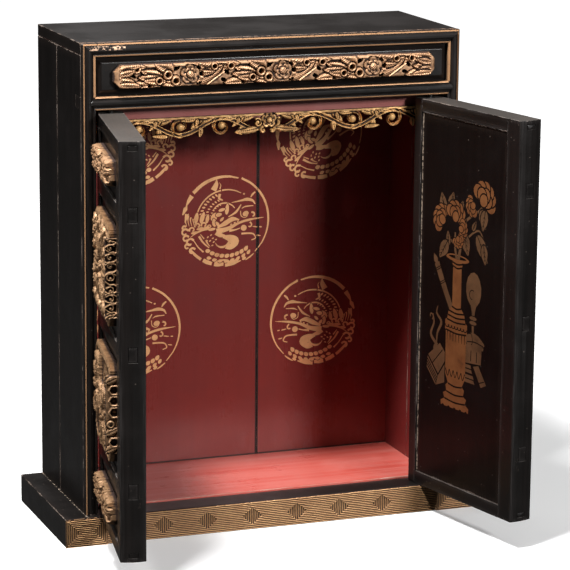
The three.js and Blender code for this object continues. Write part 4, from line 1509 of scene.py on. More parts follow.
@dataclass
class FlowerVase:
    """A vase of peonies among a scholar's things, as painted inside a door.

    Places are X and Z in the door.
    """

    middle: float = 73 * MM
    foot: float = 133 * MM
    mouth: float = 303.5 * MM
    copper: int = 1
    dull: int = 2

    def paint(self, painting: Painting) -> None:
        """Paints the whole group.

        Args:
            painting: The board's painting.
        """
        size = self.mouth - self.foot
        main = Brush(painting, self.copper, (self.middle, self.foot), size)
        self.paint_things(main.with_ink(self.dull))
        self.paint_vase(main)
        self.paint_flowers(main)

    def paint_vase(self, brush: Brush) -> None:
        """The ribbed vase on its stand, with lines of the ground between its parts.

        Args:
            brush: The brush of its main ink.
        """
        line = brush.with_ink(Painting.GROUND)
        half = [(0.0, 0.147), (0.03, 0.15), (0.05, 0.11), (0.085, 0.125), (0.1, 0.09), (0.14, 0.1),
                (0.16, 0.075), (0.215, 0.107), (0.5, 0.109), (0.51, 0.117), (0.57, 0.117), (0.58, 0.097),
                (0.63, 0.085), (0.66, 0.055), (0.67, 0.047), (0.93, 0.045), (0.95, 0.056), (0.968, 0.05)]
        brush.fill([(w, h) for h, w in half] + [(-w, h) for h, w in half[::-1]])
        brush.blob((0.0, 0.985), 0.25, 0.05)
        line.blob((0.0, 0.99), 0.19, 0.022)
        for height, width in ((0.05, 0.22), (0.1, 0.18), (0.155, 0.15), (0.505, 0.22), (0.575, 0.2),
                              (0.605, 0.18), (0.635, 0.17), (0.665, 0.1), (0.93, 0.09), (0.955, 0.11)):
            line.stroke([(-width / 2, height), (0, height - 0.01), (width / 2, height)], (0.011, 0.011))
        for i in range(-3, 4):
            line.arc(0.022, 190, 350, (0.007, 0.007), (i * 0.032, 0.545))
            line.stroke([(i * 0.031, 0.5), (i * 0.031, 0.44)], (0.008, 0.003))
        for i in range(-2, 3):
            line.stroke([(i * 0.042 - 0.02, 0.25), (i * 0.04, 0.205), (i * 0.042 + 0.02, 0.25)],
                        (0.007, 0.007))
            line.blob((i * 0.062, -0.005), 0.03, 0.028)

    def paint_flowers(self, brush: Brush) -> None:
        """The stems, peonies and buds above the mouth, and their leaves in the duller ink.

        Args:
            brush: The brush of its main ink.
        """
        leaf = brush.with_ink(self.dull)
        line = brush.with_ink(Painting.GROUND)
        for points, ends in (
                ([(-0.01, 0.98), (-0.03, 1.06), (-0.03, 1.15)], (0.024, 0.014)),
                ([(0.01, 0.98), (0.03, 1.08), (0.04, 1.2), (0.12, 1.27), (0.22, 1.33), (0.26, 1.38)],
                 (0.026, 0.013)),
                ([(0.03, 1.06), (0.12, 1.15), (0.22, 1.2), (0.28, 1.13)], (0.016, 0.01)),
                ([(-0.02, 1.06), (-0.1, 1.1), (-0.14, 1.04)], (0.016, 0.01))):
            leaf.stroke(points, ends)
        for x, y, length, width, angle in (
                (-0.15, 1.26, 0.13, 0.08, 105), (-0.09, 1.28, 0.13, 0.08, 75), (-0.1, 1.05, 0.1, 0.05, 95),
                (-0.11, 1.08, 0.15, 0.09, 235), (0.06, 1.17, 0.09, 0.05, 80), (0.06, 1.16, 0.15, 0.09, -70),
                (0.15, 1.19, 0.08, 0.04, 60), (0.24, 1.34, 0.13, 0.09, -70), (0.28, 1.34, 0.14, 0.08, -100),
                (0.2, 1.17, 0.2, 0.1, -55), (0.27, 1.12, 0.13, 0.07, -80), (0.02, 1.29, 0.08, 0.05, 70)):
            tip = polar((x, y), length, angle)
            leaf.blob(((x + tip[0]) / 2, (y + tip[1]) / 2), length, width, angle, 0.7, 0.008)
            line.stroke([(x, y), tip], (0.007, 0.003))
            for share in (0.3, 0.5, 0.7):
                vein = (x + (tip[0] - x) * share, y + (tip[1] - y) * share)
                for side in (-40, 40):
                    line.stroke([vein, polar(vein, width * 0.3, angle + side)], (0.004, 0.002))
        for x, y, size, angle in ((-0.17, 1.21, 0.1, 150), (-0.03, 1.25, 0.105, 70), (0.03, 1.18, 0.07, -10),
                                  (0.0, 1.11, 0.06, -70), (0.26, 1.40, 0.125, 60), (0.15, 1.35, 0.075, 210)):
            self.paint_peony(brush, (x, y), size, angle)

    def paint_peony(self, brush: Brush, centre: Point, size: float, angle: float) -> None:
        """One peony seen from the side, of overlapping petals with dark lines between them.

        Args:
            brush: The flower's brush.
            centre: Its middle.
            size: Its radius.
            angle: The direction in which it opens.
        """
        line = brush.with_ink(Painting.GROUND)
        rows = ((0.62, (-80, -48, -16, 16, 48, 80), 0.72), (0.3, (-60, 0, 60), 0.7), (0.0, (0,), 0.6))
        for reach, turns, share in rows:
            for turn in turns:
                middle = polar(centre, size * reach, angle + turn)
                brush.blob(middle, size * share * 1.1, size * share, angle + turn, 0.0, size * 0.08)
        for turn in (-64, -32, 0, 32, 64):
            line.blob(polar(centre, size * 1.06, angle + turn), size * 0.22, size * 0.09, angle + turn)

    def paint_things(self, brush: Brush) -> None:
        """The round fan, leaning scroll, books, burner and smoke around the vase.

        Args:
            brush: The brush of its main ink.
        """
        line = brush.with_ink(Painting.GROUND)
        brush.blob((0.178, 0.815), 0.225, 0.16, 90)
        line.arc(0.03, 60, 270, (0.006, 0.006), (0.165, 0.78))
        brush.stroke([(0.178, 0.71), (0.178, 0.66), (0.178, 0.53)], (0.06, 0.03, 0.02))
        for y in (0.63, 0.6):
            brush.blob((0.178, y), 0.075, 0.026, 0, 0.0, 0.006)
        brush.stroke([(-0.22, 0.92), (-0.15, 0.8), (-0.055, 0.65)], (0.052, 0.05, 0.046))
        brush.blob((-0.236, 0.945), 0.07, 0.045, 120, 0.8)
        for share in (0.1, 0.14, 0.4, 0.44):
            x, y = -0.22 + 0.165 * share, 0.92 - 0.27 * share
            line.stroke([(x - 0.026, y - 0.014), (x + 0.026, y + 0.014)], (0.006, 0.006))
        for outline in (((-0.301, 0.29), (-0.31, 0.215), (-0.21, 0.115), (-0.19, 0.18)),
                        ((-0.185, 0.18), (-0.205, 0.115), (-0.115, 0.15), (-0.115, 0.27)),
                        ((-0.295, 0.3), (-0.185, 0.195), (-0.115, 0.29), (-0.115, 0.35), (-0.17, 0.4))):
            brush.fill(outline)
        for k in (0.25, 0.5, 0.75):
            line.stroke([(-0.301 - 0.009 * k, 0.29 - 0.075 * k), (-0.19 - 0.02 * k, 0.18 - 0.065 * k)],
                        (0.008, 0.008))
        line.stroke([(-0.25, 0.25), (-0.14, 0.36)], (0.007, 0.007))
        brush.stroke([(-0.2, 0.38), (-0.27, 0.44), (-0.24, 0.52), (-0.25, 0.58)], (0.026, 0.02, 0.006))
        brush.stroke([(-0.21, 0.37), (-0.2, 0.46), (-0.16, 0.54), (-0.21, 0.59), (-0.2, 0.64)],
                     (0.012, 0.024, 0.006))
        brush.spiral((-0.27, 0.56), 0.025, -60, 0.8, 0.012)
        brush.blob((-0.215, 0.36), 0.06, 0.05, 60)
        brush.blob((0.21, 0.49), 0.19, 0.09, -8, 0.5)
        brush.blob((0.14, 0.49), 0.08, 0.08, 60, 0.5, 0.006)
        line.stroke([(0.12, 0.47), (0.2, 0.48), (0.29, 0.47)], (0.007, 0.007))
        brush.fill([(0.112, 0.44), (0.105, 0.33), (0.27, 0.345), (0.275, 0.44)])
        brush.fill([(0.1, 0.455), (0.105, 0.435), (0.29, 0.44), (0.295, 0.46)])
        for x in (0.165, 0.225):
            line.stroke([(x, 0.42), (x - 0.002, 0.35)], (0.007, 0.007))
        brush.fill([(0.19, 0.32), (0.245, 0.335), (0.33, 0.225), (0.275, 0.2)])
        line.stroke([(0.255, 0.225), (0.31, 0.245)], (0.007, 0.007))
        for y, width in ((0.3, 0.07), (0.27, 0.09), (0.235, 0.13), (0.205, 0.15)):
            brush.fill([(0.135 - width / 2, y), (0.135 + width / 2, y), (0.135 + width * 0.4, y + 0.022),
                        (0.135 - width * 0.4, y + 0.022)])


@dataclass
class Frieze:
    """The pierced strip of blossoms and leaves over the doorway."""

    node: str = "frieze_carving"
    grid: float = 0.4 * MM
    pitch: float = 103.5 * MM
    first: float = 5.0 * MM
    blossom: float = 11.0 * MM
    plate: float = 7.6 * MM

    def build(self) -> None:
        """Carves the strip in place of its solid."""
        low, high = CASE.box(self.node)
        relief = Relief(high.x - low.x, high.z - low.z, self.grid)
        depth = high.y - low.y
        relief.h[:] = self.plate
        relief.h[relief.v > relief.v[-1] - 3.4 * MM, :] = depth - 2.2 * MM
        for i in (-2, -1, 0, 1, 2):
            self.carve_repeat(relief, self.first + i * self.pitch, depth)
        for side in (-1, 1):
            end = side * relief.u[-1]
            for v, angle, length, bend in ((7, -14, 24, 10), (2, -4, 18, -20), (-4, 8, 20, 14),
                                           (-9, 4, 24, 0)):
                relief.leaf((end - side * 5 * MM, v * MM), 90 + side * 90 + side * angle, length * MM, 9 * MM,
                            self.plate - 0.6 * MM, 4.4 * MM, side * bend)
            relief.h[:, np.abs(relief.u - end) < 5.5 * MM] = self.plate + 1.2 * MM
        relief.trim(mm(7, 7))
        relief.dome(4.0 * MM, 2.0 * MM, 0.7)
        relief.roughen(0.16 * MM, 5 * MM, 11)
        relief.h = np.minimum(relief.h, depth)
        carve(relief, self.node, CASE, GILT_CARVING)

    def carve_repeat(self, relief: Relief, x: float, depth: float) -> None:
        """One blossom with the leaves, rolled leaves and stems on both its sides.

        Args:
            relief: The strip.
            x: The blossom's middle.
            depth: The carving's full depth.
        """
        edge, rise = self.plate - 0.6 * MM, depth - self.plate
        for du, dv, angle, length, width, bend, lobes in (
                (-10, -10, 176, 30, 10, -10, 0), (-40, -10, 176, 26, 11, 12, 0), (46, -9, 6, 26, 12, 14, 0),
                (27, 10, -6, 28, 10, 10, 0), (-19, 3, 150, 22, 17, 12, 0), (7, 11, -30, 26, 19, 24, 0),
                (-27, -7, 146, 30, 13, 20, 0), (-28, -7, 164, 30, 12, 10, 0), (-30, -6, 184, 22, 9, -16, 0),
                (26, 4, 12, 18, 10, -20, 0), (7, -8, 24, 34, 17, 12, 0), (9, 1, -6, 18, 7, 20, 0)):
            relief.leaf((x + du * MM, dv * MM), angle, length * MM, width * MM, edge, rise, bend, lobes)
        fold = [(18, -11), (27, -5), (37, 2)]
        relief.stem([(x + u * MM, v * MM) for u, v in fold], mm(1.1, 1.7, 0.8), edge, rise + 0.8 * MM)
        for du, dv, radius, hole in ((-34.5, -5.6, 4.4, 2.3), (-25, 0.4, 5.6, 2.5), (-16.4, -6.2, 5.6, 2.6),
                                     (26.4, 7.6, 4.2, 2.3), (44.5, 7.4, 4.6, 2.4)):
            relief.lobe((x + du * MM, dv * MM), radius * MM, hole * MM, edge, rise)
        for du, dv, radius, stretch, angle in (
                (-15.0, 6.6, 2.1, 2.1, 34), (-3.6, 10.2, 1.2, 1.8, 10), (9.4, 7.0, 1.5, 2.0, -52),
                (12.6, 0.4, 1.9, 1.4, 90), (40.6, 1.0, 1.9, 2.3, -38), (37.4, -7.2, 2.0, 1.6, -20),
                (-45.6, -10.4, 1.5, 1.6, 10), (9.6, -9.4, 1.4, 2.0, 40)):
            relief.hole((x + du * MM, dv * MM), radius * MM, stretch, angle)
        relief.blossom((x, 0.0), self.blossom, self.plate - 1.4 * MM, depth - self.plate + 1.4 * MM)


@dataclass
class Pelmet:
    """The pierced scrollwork under the fascia: waving stems, a bud in each bend, and a blossom between."""

    node: str = "pelmet"
    grid: float = 0.5 * MM
    pitch: float = 46.5 * MM
    stem: float = 2.5 * MM
    fillet: float = 2.4 * MM
    first_bend: float = 1.12

    def build(self) -> None:
        """Carves the pelmet in place of its solid."""
        low, high = CASE.box(self.node)
        depth = high.y - low.y
        half, top = (high.x - low.x) / 2, (high.z - low.z) / 2
        relief = Relief(2 * half, 2 * top, self.grid)
        row = relief.v > top - self.fillet
        relief.h[row, :] = depth * 0.8
        swing = top - self.stem - 0.3 * MM
        for side in (-1, 1):
            share = np.arange(0.3, half / self.pitch + 0.1, 0.05)
            wave = list(zip(side * share * self.pitch, swing * np.cos(np.pi * (share - self.first_bend))))
            for bend in range(4):
                self.carve_bend(relief, side, bend, swing, depth, half)
            relief.h[row, :] = depth * 0.8
            relief.stem(wave, [self.stem] * len(wave), depth * 0.25, depth * 0.72, True)
            relief.leaf(mm(side * 7, -4), 90 - side * 108, 30 * MM, 8 * MM, depth * 0.1, depth * 0.5,
                        side * 24, 5)
            relief.curl(mm(side * 11, 1), 5.0 * MM, 90 - side * 30, side * 1.2, 1.5 * MM, depth * 0.3,
                        depth * 0.6, 0.25)
            relief.curl(mm(side * 4.8, -7.2), 4.2 * MM, 90, side * -0.8, 1.7 * MM, depth * 0.35, depth * 0.6)
        relief.blossom(mm(2.3, 3.5), 9.5 * MM, 0.3 * MM, depth - 0.4 * MM)
        relief.roughen(0.12 * MM, 4 * MM, 5)
        relief.h = np.minimum(relief.h, depth)
        carve(relief, self.node, CASE, GILT_PELMET, back=True)

    def carve_bend(self, relief: Relief, side: int, bend: int, swing: float, depth: float,
                   half: float) -> None:
        """One bend: its curl and bud, and the leaves where the stem crosses to the next.

        Args:
            relief: The pelmet.
            side: -1 on the left, 1 on the right.
            bend: Its number from the middle.
            swing: How far the stem swings up and down.
            depth: The pelmet's thickness.
            half: Half its length.
        """
        up = 1 if bend % 2 == 0 else -1
        centre = (side * self.pitch * (bend + self.first_bend), 0.0)
        if abs(centre[0]) < half - swing * 0.8:
            start = 90 * up
            turns = -side * up * 0.86
            relief.curl(centre, swing + 0.55 * self.stem, start, turns, self.stem * 0.85, depth * 0.25,
                        depth * 0.7, 0.3, True, 2.6)
            relief.bud(polar(centre, 0.8 * MM, start), 3.1 * MM, depth * 0.4, depth * 0.6)
        crossing = side * self.pitch * (bend + self.first_bend - 0.5)
        for du, dv, angle, length, width, bow in (
                (-13, 9, -14, 26, 8, 10), (-2, 9, -30, 18, 7, -20), (5, 9, -12, 18, 6, 10),
                (1, -1, -95, 11, 7, 20), (-9, -9.5 * up, 4, 18, 5, 0), (4, 8, -76, 9, 5, 0)):
            outward = angle if side > 0 else 180 - angle
            relief.leaf((crossing + side * du * MM, dv * MM), outward, length * MM, width * MM, depth * 0.2,
                        depth * 0.7, bow * side)


@dataclass
class Plinth:
    """The black plinth with its gilt front of rippled lines, end blocks and lozenges."""

    node: str = "plinth"
    grid: float = 0.6 * MM
    skin: float = 2.4 * MM
    ripple: float = 2.05 * MM
    end_block: float = 46.5 * MM
    lozenges: Sequence[float] = (-129.0, -79.0, -27.0, 25.0, 75.0, 126.0)
    lozenge_half: tuple[float, float] = mm(11.5, 9.5)

    def build(self) -> None:
        """Builds the block and its carved front in place of the solid."""
        low, high = CASE.box(self.node)
        self.build_front(low, high)
        self.build_block(low, high)

    def build_front(self, low: Vector, high: Vector) -> None:
        """Carves the gilt front.

        Args:
            low: The plinth's low corner.
            high: Its high corner.
        """
        relief = Relief(high.x - low.x, high.z - low.z, self.grid, 1.6)
        half, top = relief.u[-1], relief.v[-1]
        u, v = np.meshgrid(relief.u, relief.v)
        wobble = (soft_noise(u.shape, (5, 40), 3) + 0.5 * soft_noise(u.shape, (14, 160), 4)) * 0.2 * MM
        block = half - np.abs(u) < self.end_block
        side = half - np.abs(u)
        inset = np.minimum(top - np.abs(v), np.minimum(side, np.abs(np.abs(u) - half + self.end_block)))
        lines = np.where(block, inset, v - top + 0.55 * self.ripple)
        height = 0.5 + 0.5 * np.cos(2 * np.pi * (lines + wobble) / self.ripple)
        wide, tall = self.lozenge_half
        for centre in self.lozenges:
            across = np.abs(u - centre * MM) / wide + np.abs(v + 0.3 * MM) / tall
            upright = 0.5 + 0.5 * np.cos(2 * np.pi * (u - centre * MM + wobble) / (self.ripple * 1.05))
            height = np.where(across < 1, upright**2.5 * 0.9 - 0.1, height)
        height = self.skin - 1.5 * MM * (1 - height) ** 1.1
        chips = soft_noise(u.shape, (3, 130), 8) + 0.6 * soft_noise(u.shape, (6, 300), 9)
        edge = np.clip((chips - 0.35) * 3, 0, 1) * np.clip(1 - (top - v) / (1.8 * MM), 0, 1)
        relief.h = np.maximum(height - 1.6 * MM * edge, 0.3 * MM)
        relief.roughen(0.12 * MM, 3 * MM, 21)
        middle = (low.x + high.x) / 2
        front = relief.build("plinth_front", CASE, (middle, low.y + self.skin, (low.z + high.z) / 2),
                             GILT_PLINTH.material(), cavity_reach=1.0 * MM, cavity_depth=0.7 * MM)
        stand_in(front, self.node)

    def build_block(self, low: Vector, high: Vector) -> None:
        """Builds the block with the pocket for the floor board.

        Args:
            low: The plinth's low corner.
            high: Its high corner.
        """
        floor_low, floor_high = CASE.box("floor_board")
        gap = 0.2 * MM
        front = low.y + self.skin
        points = [(x, y, z) for z in (low.z, high.z) for x, y in
                  ((low.x, front), (high.x, front), (high.x, high.y), (low.x, high.y))]
        points += [(x, y, z) for z in (floor_low.z - gap, high.z) for x, y in
                   ((floor_low.x - gap, floor_low.y - gap), (floor_high.x + gap, floor_low.y - gap),
                    (floor_high.x + gap, floor_high.y + gap), (floor_low.x - gap, floor_high.y + gap))]
        faces = [(3, 2, 1, 0), (8, 9, 10, 11)]
        for i in range(4):
            j = (i + 1) % 4
            faces += [(i, j, 4 + j, 4 + i), (4 + i, 4 + j, 12 + j, 12 + i), (12 + i, 12 + j, 8 + j, 8 + i)]
        sides = [CASE.box(f"{side}_stile")[end].x for side, end in (("left", 0), ("right", 1))]
        lines = [Region((0.42, 0.33, 0.25), (x - 1.0 * MM, x + 1.0 * MM), z=(high.z - 0.2 * MM, FAR),
                        roughness=MATT, wear=1.1) for x in sides]
        coat = PLINTH_BLACK.material(CASE, low, high, Grain.ALONG_X, lines, "plinth_block")
        block = new_object("plinth_block", np.array(points), faces, CASE, [coat])
        soften(block, 0.8 * MM)
        stand_in(block, self.node)


@dataclass
class Case:
    """The case: boards, moulded front frame, frieze, painted back wall, fascia and pelmet."""

    gold_line: Colour = (0.46, 0.25, 0.125)
    bead: float = 1.5 * MM
    wall_red: Colour = (0.17, 0.024, 0.022)
    floor_top: float = CASE.box("floor_board")[1].z
    roundels: Sequence[tuple[float, float, float, bool]] = (
        (0.0, 310.0, 0.0, False), (108.0, 187.0, 0.0, True), (-106.0, 190.0, 0.0, False),
        (-111.0, 407.0, 0.0, True), (112.6, 405.0, 30.0, False),
    )

    def build(self) -> None:
        """Carves the frieze and the pelmet, and paints the back wall."""
        Frieze().build()
        Pelmet().build()
        self.paint_wall()

    def dress(self) -> None:
        """Finishes the boards and mouldings."""
        self.dress_boards()
        self.dress_mouldings()

    def gilt(self, x: Span = ALL, y: Span = ALL, z: Span = ALL, wear: float = 0.4) -> Region:
        """A worn gilt line in a box of the case."""
        return Region(self.gold_line, x, y, z, metallic=0.4, wear=wear)

    def paint_wall(self) -> None:
        """Paints the roundels on the two boards of the back wall."""
        painting = Painting()
        for x, z, turn, mirrored in self.roundels:
            DragonRoundel(mm(x, z), turn=turn, mirrored=mirrored).paint(painting, 1)
        gold = ROUNDEL_GOLD.material()
        for side in ("left", "right"):
            node = f"back_board_{side}"
            low, high = CASE.box(node)
            joint = high.x if side == "left" else low.x
            gap = CASE.box("back_board_right")[0].x - CASE.box("back_board_left")[1].x
            crack = Region((0.006, 0.003, 0.002), (joint - 1.6 * MM, joint + 1.6 * MM),
                           roughness=MATT, wear=0.0)
            foot = Region((0.02, 0.008, 0.006), z=(0.0, self.floor_top + 1.6 * MM), roughness=0.7, wear=0.2)
            rear = Region(BLACK.colour, y=(high.y - 1.0 * MM, FAR))
            ground = RED.material(CASE, low, high, Grain.ALONG_Z, (crack, foot, rear), node)
            laps = (0.0, gap * 0.9) if side == "left" else (0.0, 0.0)
            painted_board(f"{node}_painted", CASE, node, painting, [ground, gold], laps=laps)

    def dress_boards(self) -> None:
        """The sides, top, floor and fascia: black outside, red inside."""
        for side, sign in (("left", -1), ("right", 1)):
            for part in ("front", "rear"):
                node = f"{side}_side_{part}_board"
                low, high = CASE.box(node)
                inner = high.x if sign < 0 else low.x
                ends = tuple(sorted((inner - sign * 1.0 * MM, inner + sign * 0.6 * MM)))
                red = Region(self.wall_red, ends, roughness=0.32)
                dress_board(node, CASE, BLACK, Grain.ALONG_Z, (red,))
        low, high = CASE.box("top_board")
        under = Region(self.wall_red, z=(low.z - 1 * MM, low.z + 0.5 * MM), roughness=0.34)
        front = Region((0.30, 0.18, 0.12), y=(-FAR, low.y + 3 * MM), z=(high.z - 2 * MM, FAR),
                       roughness=MATT, wear=0.9)
        dress_board("top_board", CASE, BLACK, Grain.ALONG_X, (under, front))
        dress_board("floor_board", CASE, FLOOR_RED, Grain.ALONG_X, edge=0.4 * MM)
        dress_board("fascia_board", CASE, FASCIA_RED, Grain.ALONG_X)
        dress_board("frieze_panel", CASE, BLACK, Grain.ALONG_X)

    def dress_mouldings(self) -> None:
        """The moulded frame, with gilt lines on its beads."""
        rail = CASE.box("middle_rail")[1].z
        for side, sign in (("left", -1), ("right", 1)):
            node = f"{side}_stile"
            low, high = CASE.box(node)
            outer = low.x if sign < 0 else high.x
            inner = high.x if sign < 0 else low.x
            ends = sorted((outer, outer - sign * 2.0 * MM))
            arris = self.gilt((ends[0] - 1 * MM, ends[1]), (-FAR, low.y + 3.4 * MM), wear=0.2)
            ends = sorted((inner, inner + sign * self.bead))
            bead = self.gilt((ends[0] - 1 * MM, ends[1] + 1 * MM), (-FAR, low.y + 5 * MM), (rail, FAR))
            dress_board(node, CASE, BLACK, Grain.ALONG_Z, (arris, bead), 0.3 * MM)
        low, high = CASE.box("top_rail")
        arris = self.gilt(y=(-FAR, low.y + 4.0 * MM), z=(high.z - 1.8 * MM, FAR), wear=0.6)
        chips = Region((0.68, 0.44, 0.29), (low.x + 6 * MM, low.x + 46 * MM), (-FAR, low.y + 6 * MM),
                       (high.z - 7 * MM, high.z - 3 * MM), MATT, wear=1.1)
        bead = self.gilt(y=(-FAR, low.y + 5 * MM), z=(low.z - 1 * MM, low.z + self.bead))
        dress_board("top_rail", CASE, BLACK, Grain.ALONG_X, (arris, bead, chips), 0.3 * MM)
        low, high = CASE.box("middle_rail")
        lines = [self.gilt(y=(-FAR, low.y + 5 * MM), z=(z - self.bead, z + self.bead))
                 for z in (low.z, high.z)]
        dress_board("middle_rail", CASE, BLACK, Grain.ALONG_X, lines, 0.3 * MM)


class Strip(Enum):
    """The two small carvings of a door, by the field they lie on."""

    TOP = "top"
    BOTTOM = "bottom"


class Panel(Enum):
    """The two large carvings of a door, by the field they lie on."""

    SCROLLS = "upper"
    GARDEN = "lower"


@dataclass
class Door:
    """A door: a black frame with gilt carvings outside and a painted board inside."""

    place: Place
    painted: bool
    grid: float = 0.6 * MM
    end: float = 5.0 * MM
    corner: float = 12.0 * MM
    fields: Sequence[str] = ("top", "upper", "lower", "bottom")
    rails: Sequence[str] = ("top_rail", "upper_cross_rail", "middle_cross_rail", "lower_cross_rail",
                            "bottom_rail")

    def build(self) -> None:
        """Carves the four outer carvings and paints the inner board."""
        for strip in Strip:
            self.carve_strip(strip)
        for panel in Panel:
            self.carve_panel(panel)
        self.paint_inner()

    def dress(self) -> None:
        """Finishes the frame and the fields."""
        body = self.place.body
        low, high = self.place.box(f"{body}_meeting_stile")
        # A pale grey line along the arris of the outer face and the free edge: a painted highlight.
        arris = Region((0.42, 0.41, 0.42), (high.x - 1.4 * MM, FAR), (-FAR, low.y + 1.4 * MM), roughness=0.45)
        dress_board(f"{body}_meeting_stile", self.place, DOOR_BLACK, Grain.ALONG_Z, (arris,))
        dress_board(f"{body}_hinge_stile", self.place, DOOR_BLACK, Grain.ALONG_Z)
        for part in self.rails:
            dress_board(f"{body}_{part}", self.place, DOOR_BLACK, Grain.ALONG_X)
        for part in self.fields:
            dress_board(f"{body}_{part}_field", self.place, BLACK, Grain.ALONG_Z)

    def carve_strip(self, strip: Strip) -> None:
        """Carves a small strip: a blossom between leaves.

        Args:
            strip: Which of the two.
        """
        node = f"{self.place.body}_{strip.value}_carving"
        low, high = self.place.box(node)
        relief = Relief(high.x - low.x, high.z - low.z, self.grid)
        depth = high.y - low.y
        edge, rise = depth - 4.6 * MM, 4.4 * MM
        relief.h[:] = edge + 0.6 * MM
        for side in (-1, 1):
            turn = 0 if side > 0 else 180
            for du, dv, angle, length, width in (
                    (34, 10, -10, 30, 9), (34, -10, 10, 30, 9), (8, 6, 8, 36, 13), (8, -7, -8, 34, 12),
                    (30, 1, 0, 30, 10), (50, 4, -14, 16, 9)):
                relief.leaf(mm(side * du, dv), turn + side * angle, length * MM, width * MM, edge, rise,
                            side * angle * -2)
            for du, dv, radius in ((15, 0, 2.4), (31, -5, 2.6), (45, 8, 2.4), (48, -8, 2.2), (22, 10, 2.0)):
                relief.lobe(mm(side * du, dv), radius * 2 * MM, radius * MM, edge, rise)
        relief.blossom((0.0, 0.0), 11.5 * MM, edge - 1.5 * MM, rise + 1.6 * MM)
        relief.trim(mm(7, 7), 0.5 * MM)
        relief.dome(5 * MM, 5 * MM, 0.6)
        relief.roughen(0.22 * MM, 5 * MM, 61)
        relief.roughen(0.35 * MM, 2.2 * MM, 62)
        relief.h = np.minimum(relief.h, depth)
        # The top strip keeps the plain gilding and the bottom strip takes its darker copy: painted light and
        # shade.
        carve(relief, node, self.place, GILT_CARVING if strip is Strip.TOP else GILT_SHADED)

    def carve_panel(self, panel: Panel) -> None:
        """Carves a large panel: its face, and the end of it that faces the door's free edge.

        Args:
            panel: Which of the two.
        """
        node = f"{self.place.body}_{panel.value}_carving"
        low, high = self.place.box(node)
        depth = high.y - low.y
        cuts = (self.corner, self.corner - self.end)
        relief = Relief(high.x - low.x - self.end, high.z - low.z, self.grid)
        relief.h = np.where(relief.edge(cuts) < 5.5 * MM, depth - 2.6 * MM, 1.6 * MM)
        if panel is Panel.SCROLLS:
            self.carve_scrolls(relief, depth)
        else:
            self.carve_garden(relief, depth)
        relief.trim(cuts, 0.8 * MM)
        inside = relief.edge(cuts) / self.corner
        relief.h = np.where(relief.h > 0, relief.h * (0.72 + 0.28 * np.sqrt(np.clip(inside, 0, 1))), relief.h)
        relief.roughen(0.25 * MM, 6 * MM, 31 + len(panel.value))
        relief.roughen(0.5 * MM, 2.4 * MM, 37 + len(panel.value))
        relief.h = np.minimum(relief.h, depth)
        # The darker copy of the gilding: painted shade.
        carve(relief, node, self.place, GILT_SHADED, shift=-self.end / 2)
        self.carve_end(panel, node)

    def carve_end(self, panel: Panel, node: str) -> None:
        """Carves the end of a large panel at the door's free edge, with deep openings.

        Args:
            panel: Which of the two.
            node: Its solid.
        """
        turned = math.copysign(math.pi / 2, -1 if self.place.mirrored else 1)
        place = Place(self.place.body, self.place.origin, self.place.turn + turned, self.place.mirrored)
        low, high = place.box(node)
        relief = Relief(high.x - low.x, high.z - low.z - 2 * self.corner, 0.45 * MM)
        if panel is Panel.SCROLLS:
            self.carve_scroll_end(relief)
        else:
            self.carve_garden_end(relief)
        relief.roughen(0.15 * MM, 4 * MM, 77)
        relief.h = np.where(relief.h > 0, np.minimum(relief.h, self.end), relief.h)
        middle = (low + high) / 2
        at = (middle.x, low.y + self.end, middle.z)
        # The darker copy of the gilding: painted shade.
        piece = relief.build(f"{node}_end", place, at, GILT_SHADED.material(), back=True)
        stand_in(piece, node)

    def carve_scroll_end(self, relief: Relief) -> None:
        """Curls one above another, with slanting stems across them.

        Args:
            relief: The end.
        """
        bed = 0.5 * MM
        relief.h[:] = bed
        relief.h[:, relief.u > 4.6 * MM] = self.end - 2.0 * MM
        for up in (-1, 1):
            for v, radius, turns in ((0.0, 6.0, 0.8), (12.5, 4.4, 0.9), (21.5, 5.0, 0.8),
                                     (31.0, 4.4, 0.9), (39, 4, 0.9)):
                relief.curl(mm(-1.0, up * v), radius * MM, 90 - up * 60, up * turns, 1.05 * MM,
                            bed, self.end - bed, 0.2)
            for v, rise in ((6.5, 3), (15, -2), (17, 3), (25.5, 2), (27, -3), (35, 3), (38, -3),
                            (41, -1)):
                relief.stem([mm(-6.4, up * (v - rise)), mm(-2, up * v), mm(2.5, up * v),
                             mm(6.4, up * (v + rise))], mm(0.8, 1.1, 1.0, 0.7),
                            bed, self.end - 0.6 * MM)

    def carve_garden_end(self, relief: Relief) -> None:
        """Six-sided openings with raised rims, between leaves.

        Args:
            relief: The end.
        """
        proud = 1.4 * MM
        flat = self.end - proud
        relief.h[:] = flat
        for v in (-20, -38, 40, 34):
            relief.leaf(mm(-6, v), 24, 14 * MM, 9 * MM, flat, 1.3 * MM)
        for u, v, radius in ((2, 26, 5.2), (2, 14.5, 5.4), (2.5, 2.5, 5.8), (2, -29, 5.2)):
            middle = mm(u, v)
            relief.stem([polar(middle, radius * MM, 60 * k) for k in range(7)], [0.9 * MM] * 7,
                        flat, proud)
            part, du, dv = relief.window(middle, radius * MM)
            inner = np.maximum(np.abs(dv) / 0.87, np.abs(dv) * 0.58 + np.abs(du)) < (radius - 1.1) * MM
            relief.h[part] = np.where(inner, 0.4 * MM, relief.h[part])
        relief.lobe(mm(-1.5, -10), 4.4 * MM, 2.0 * MM, flat, proud)

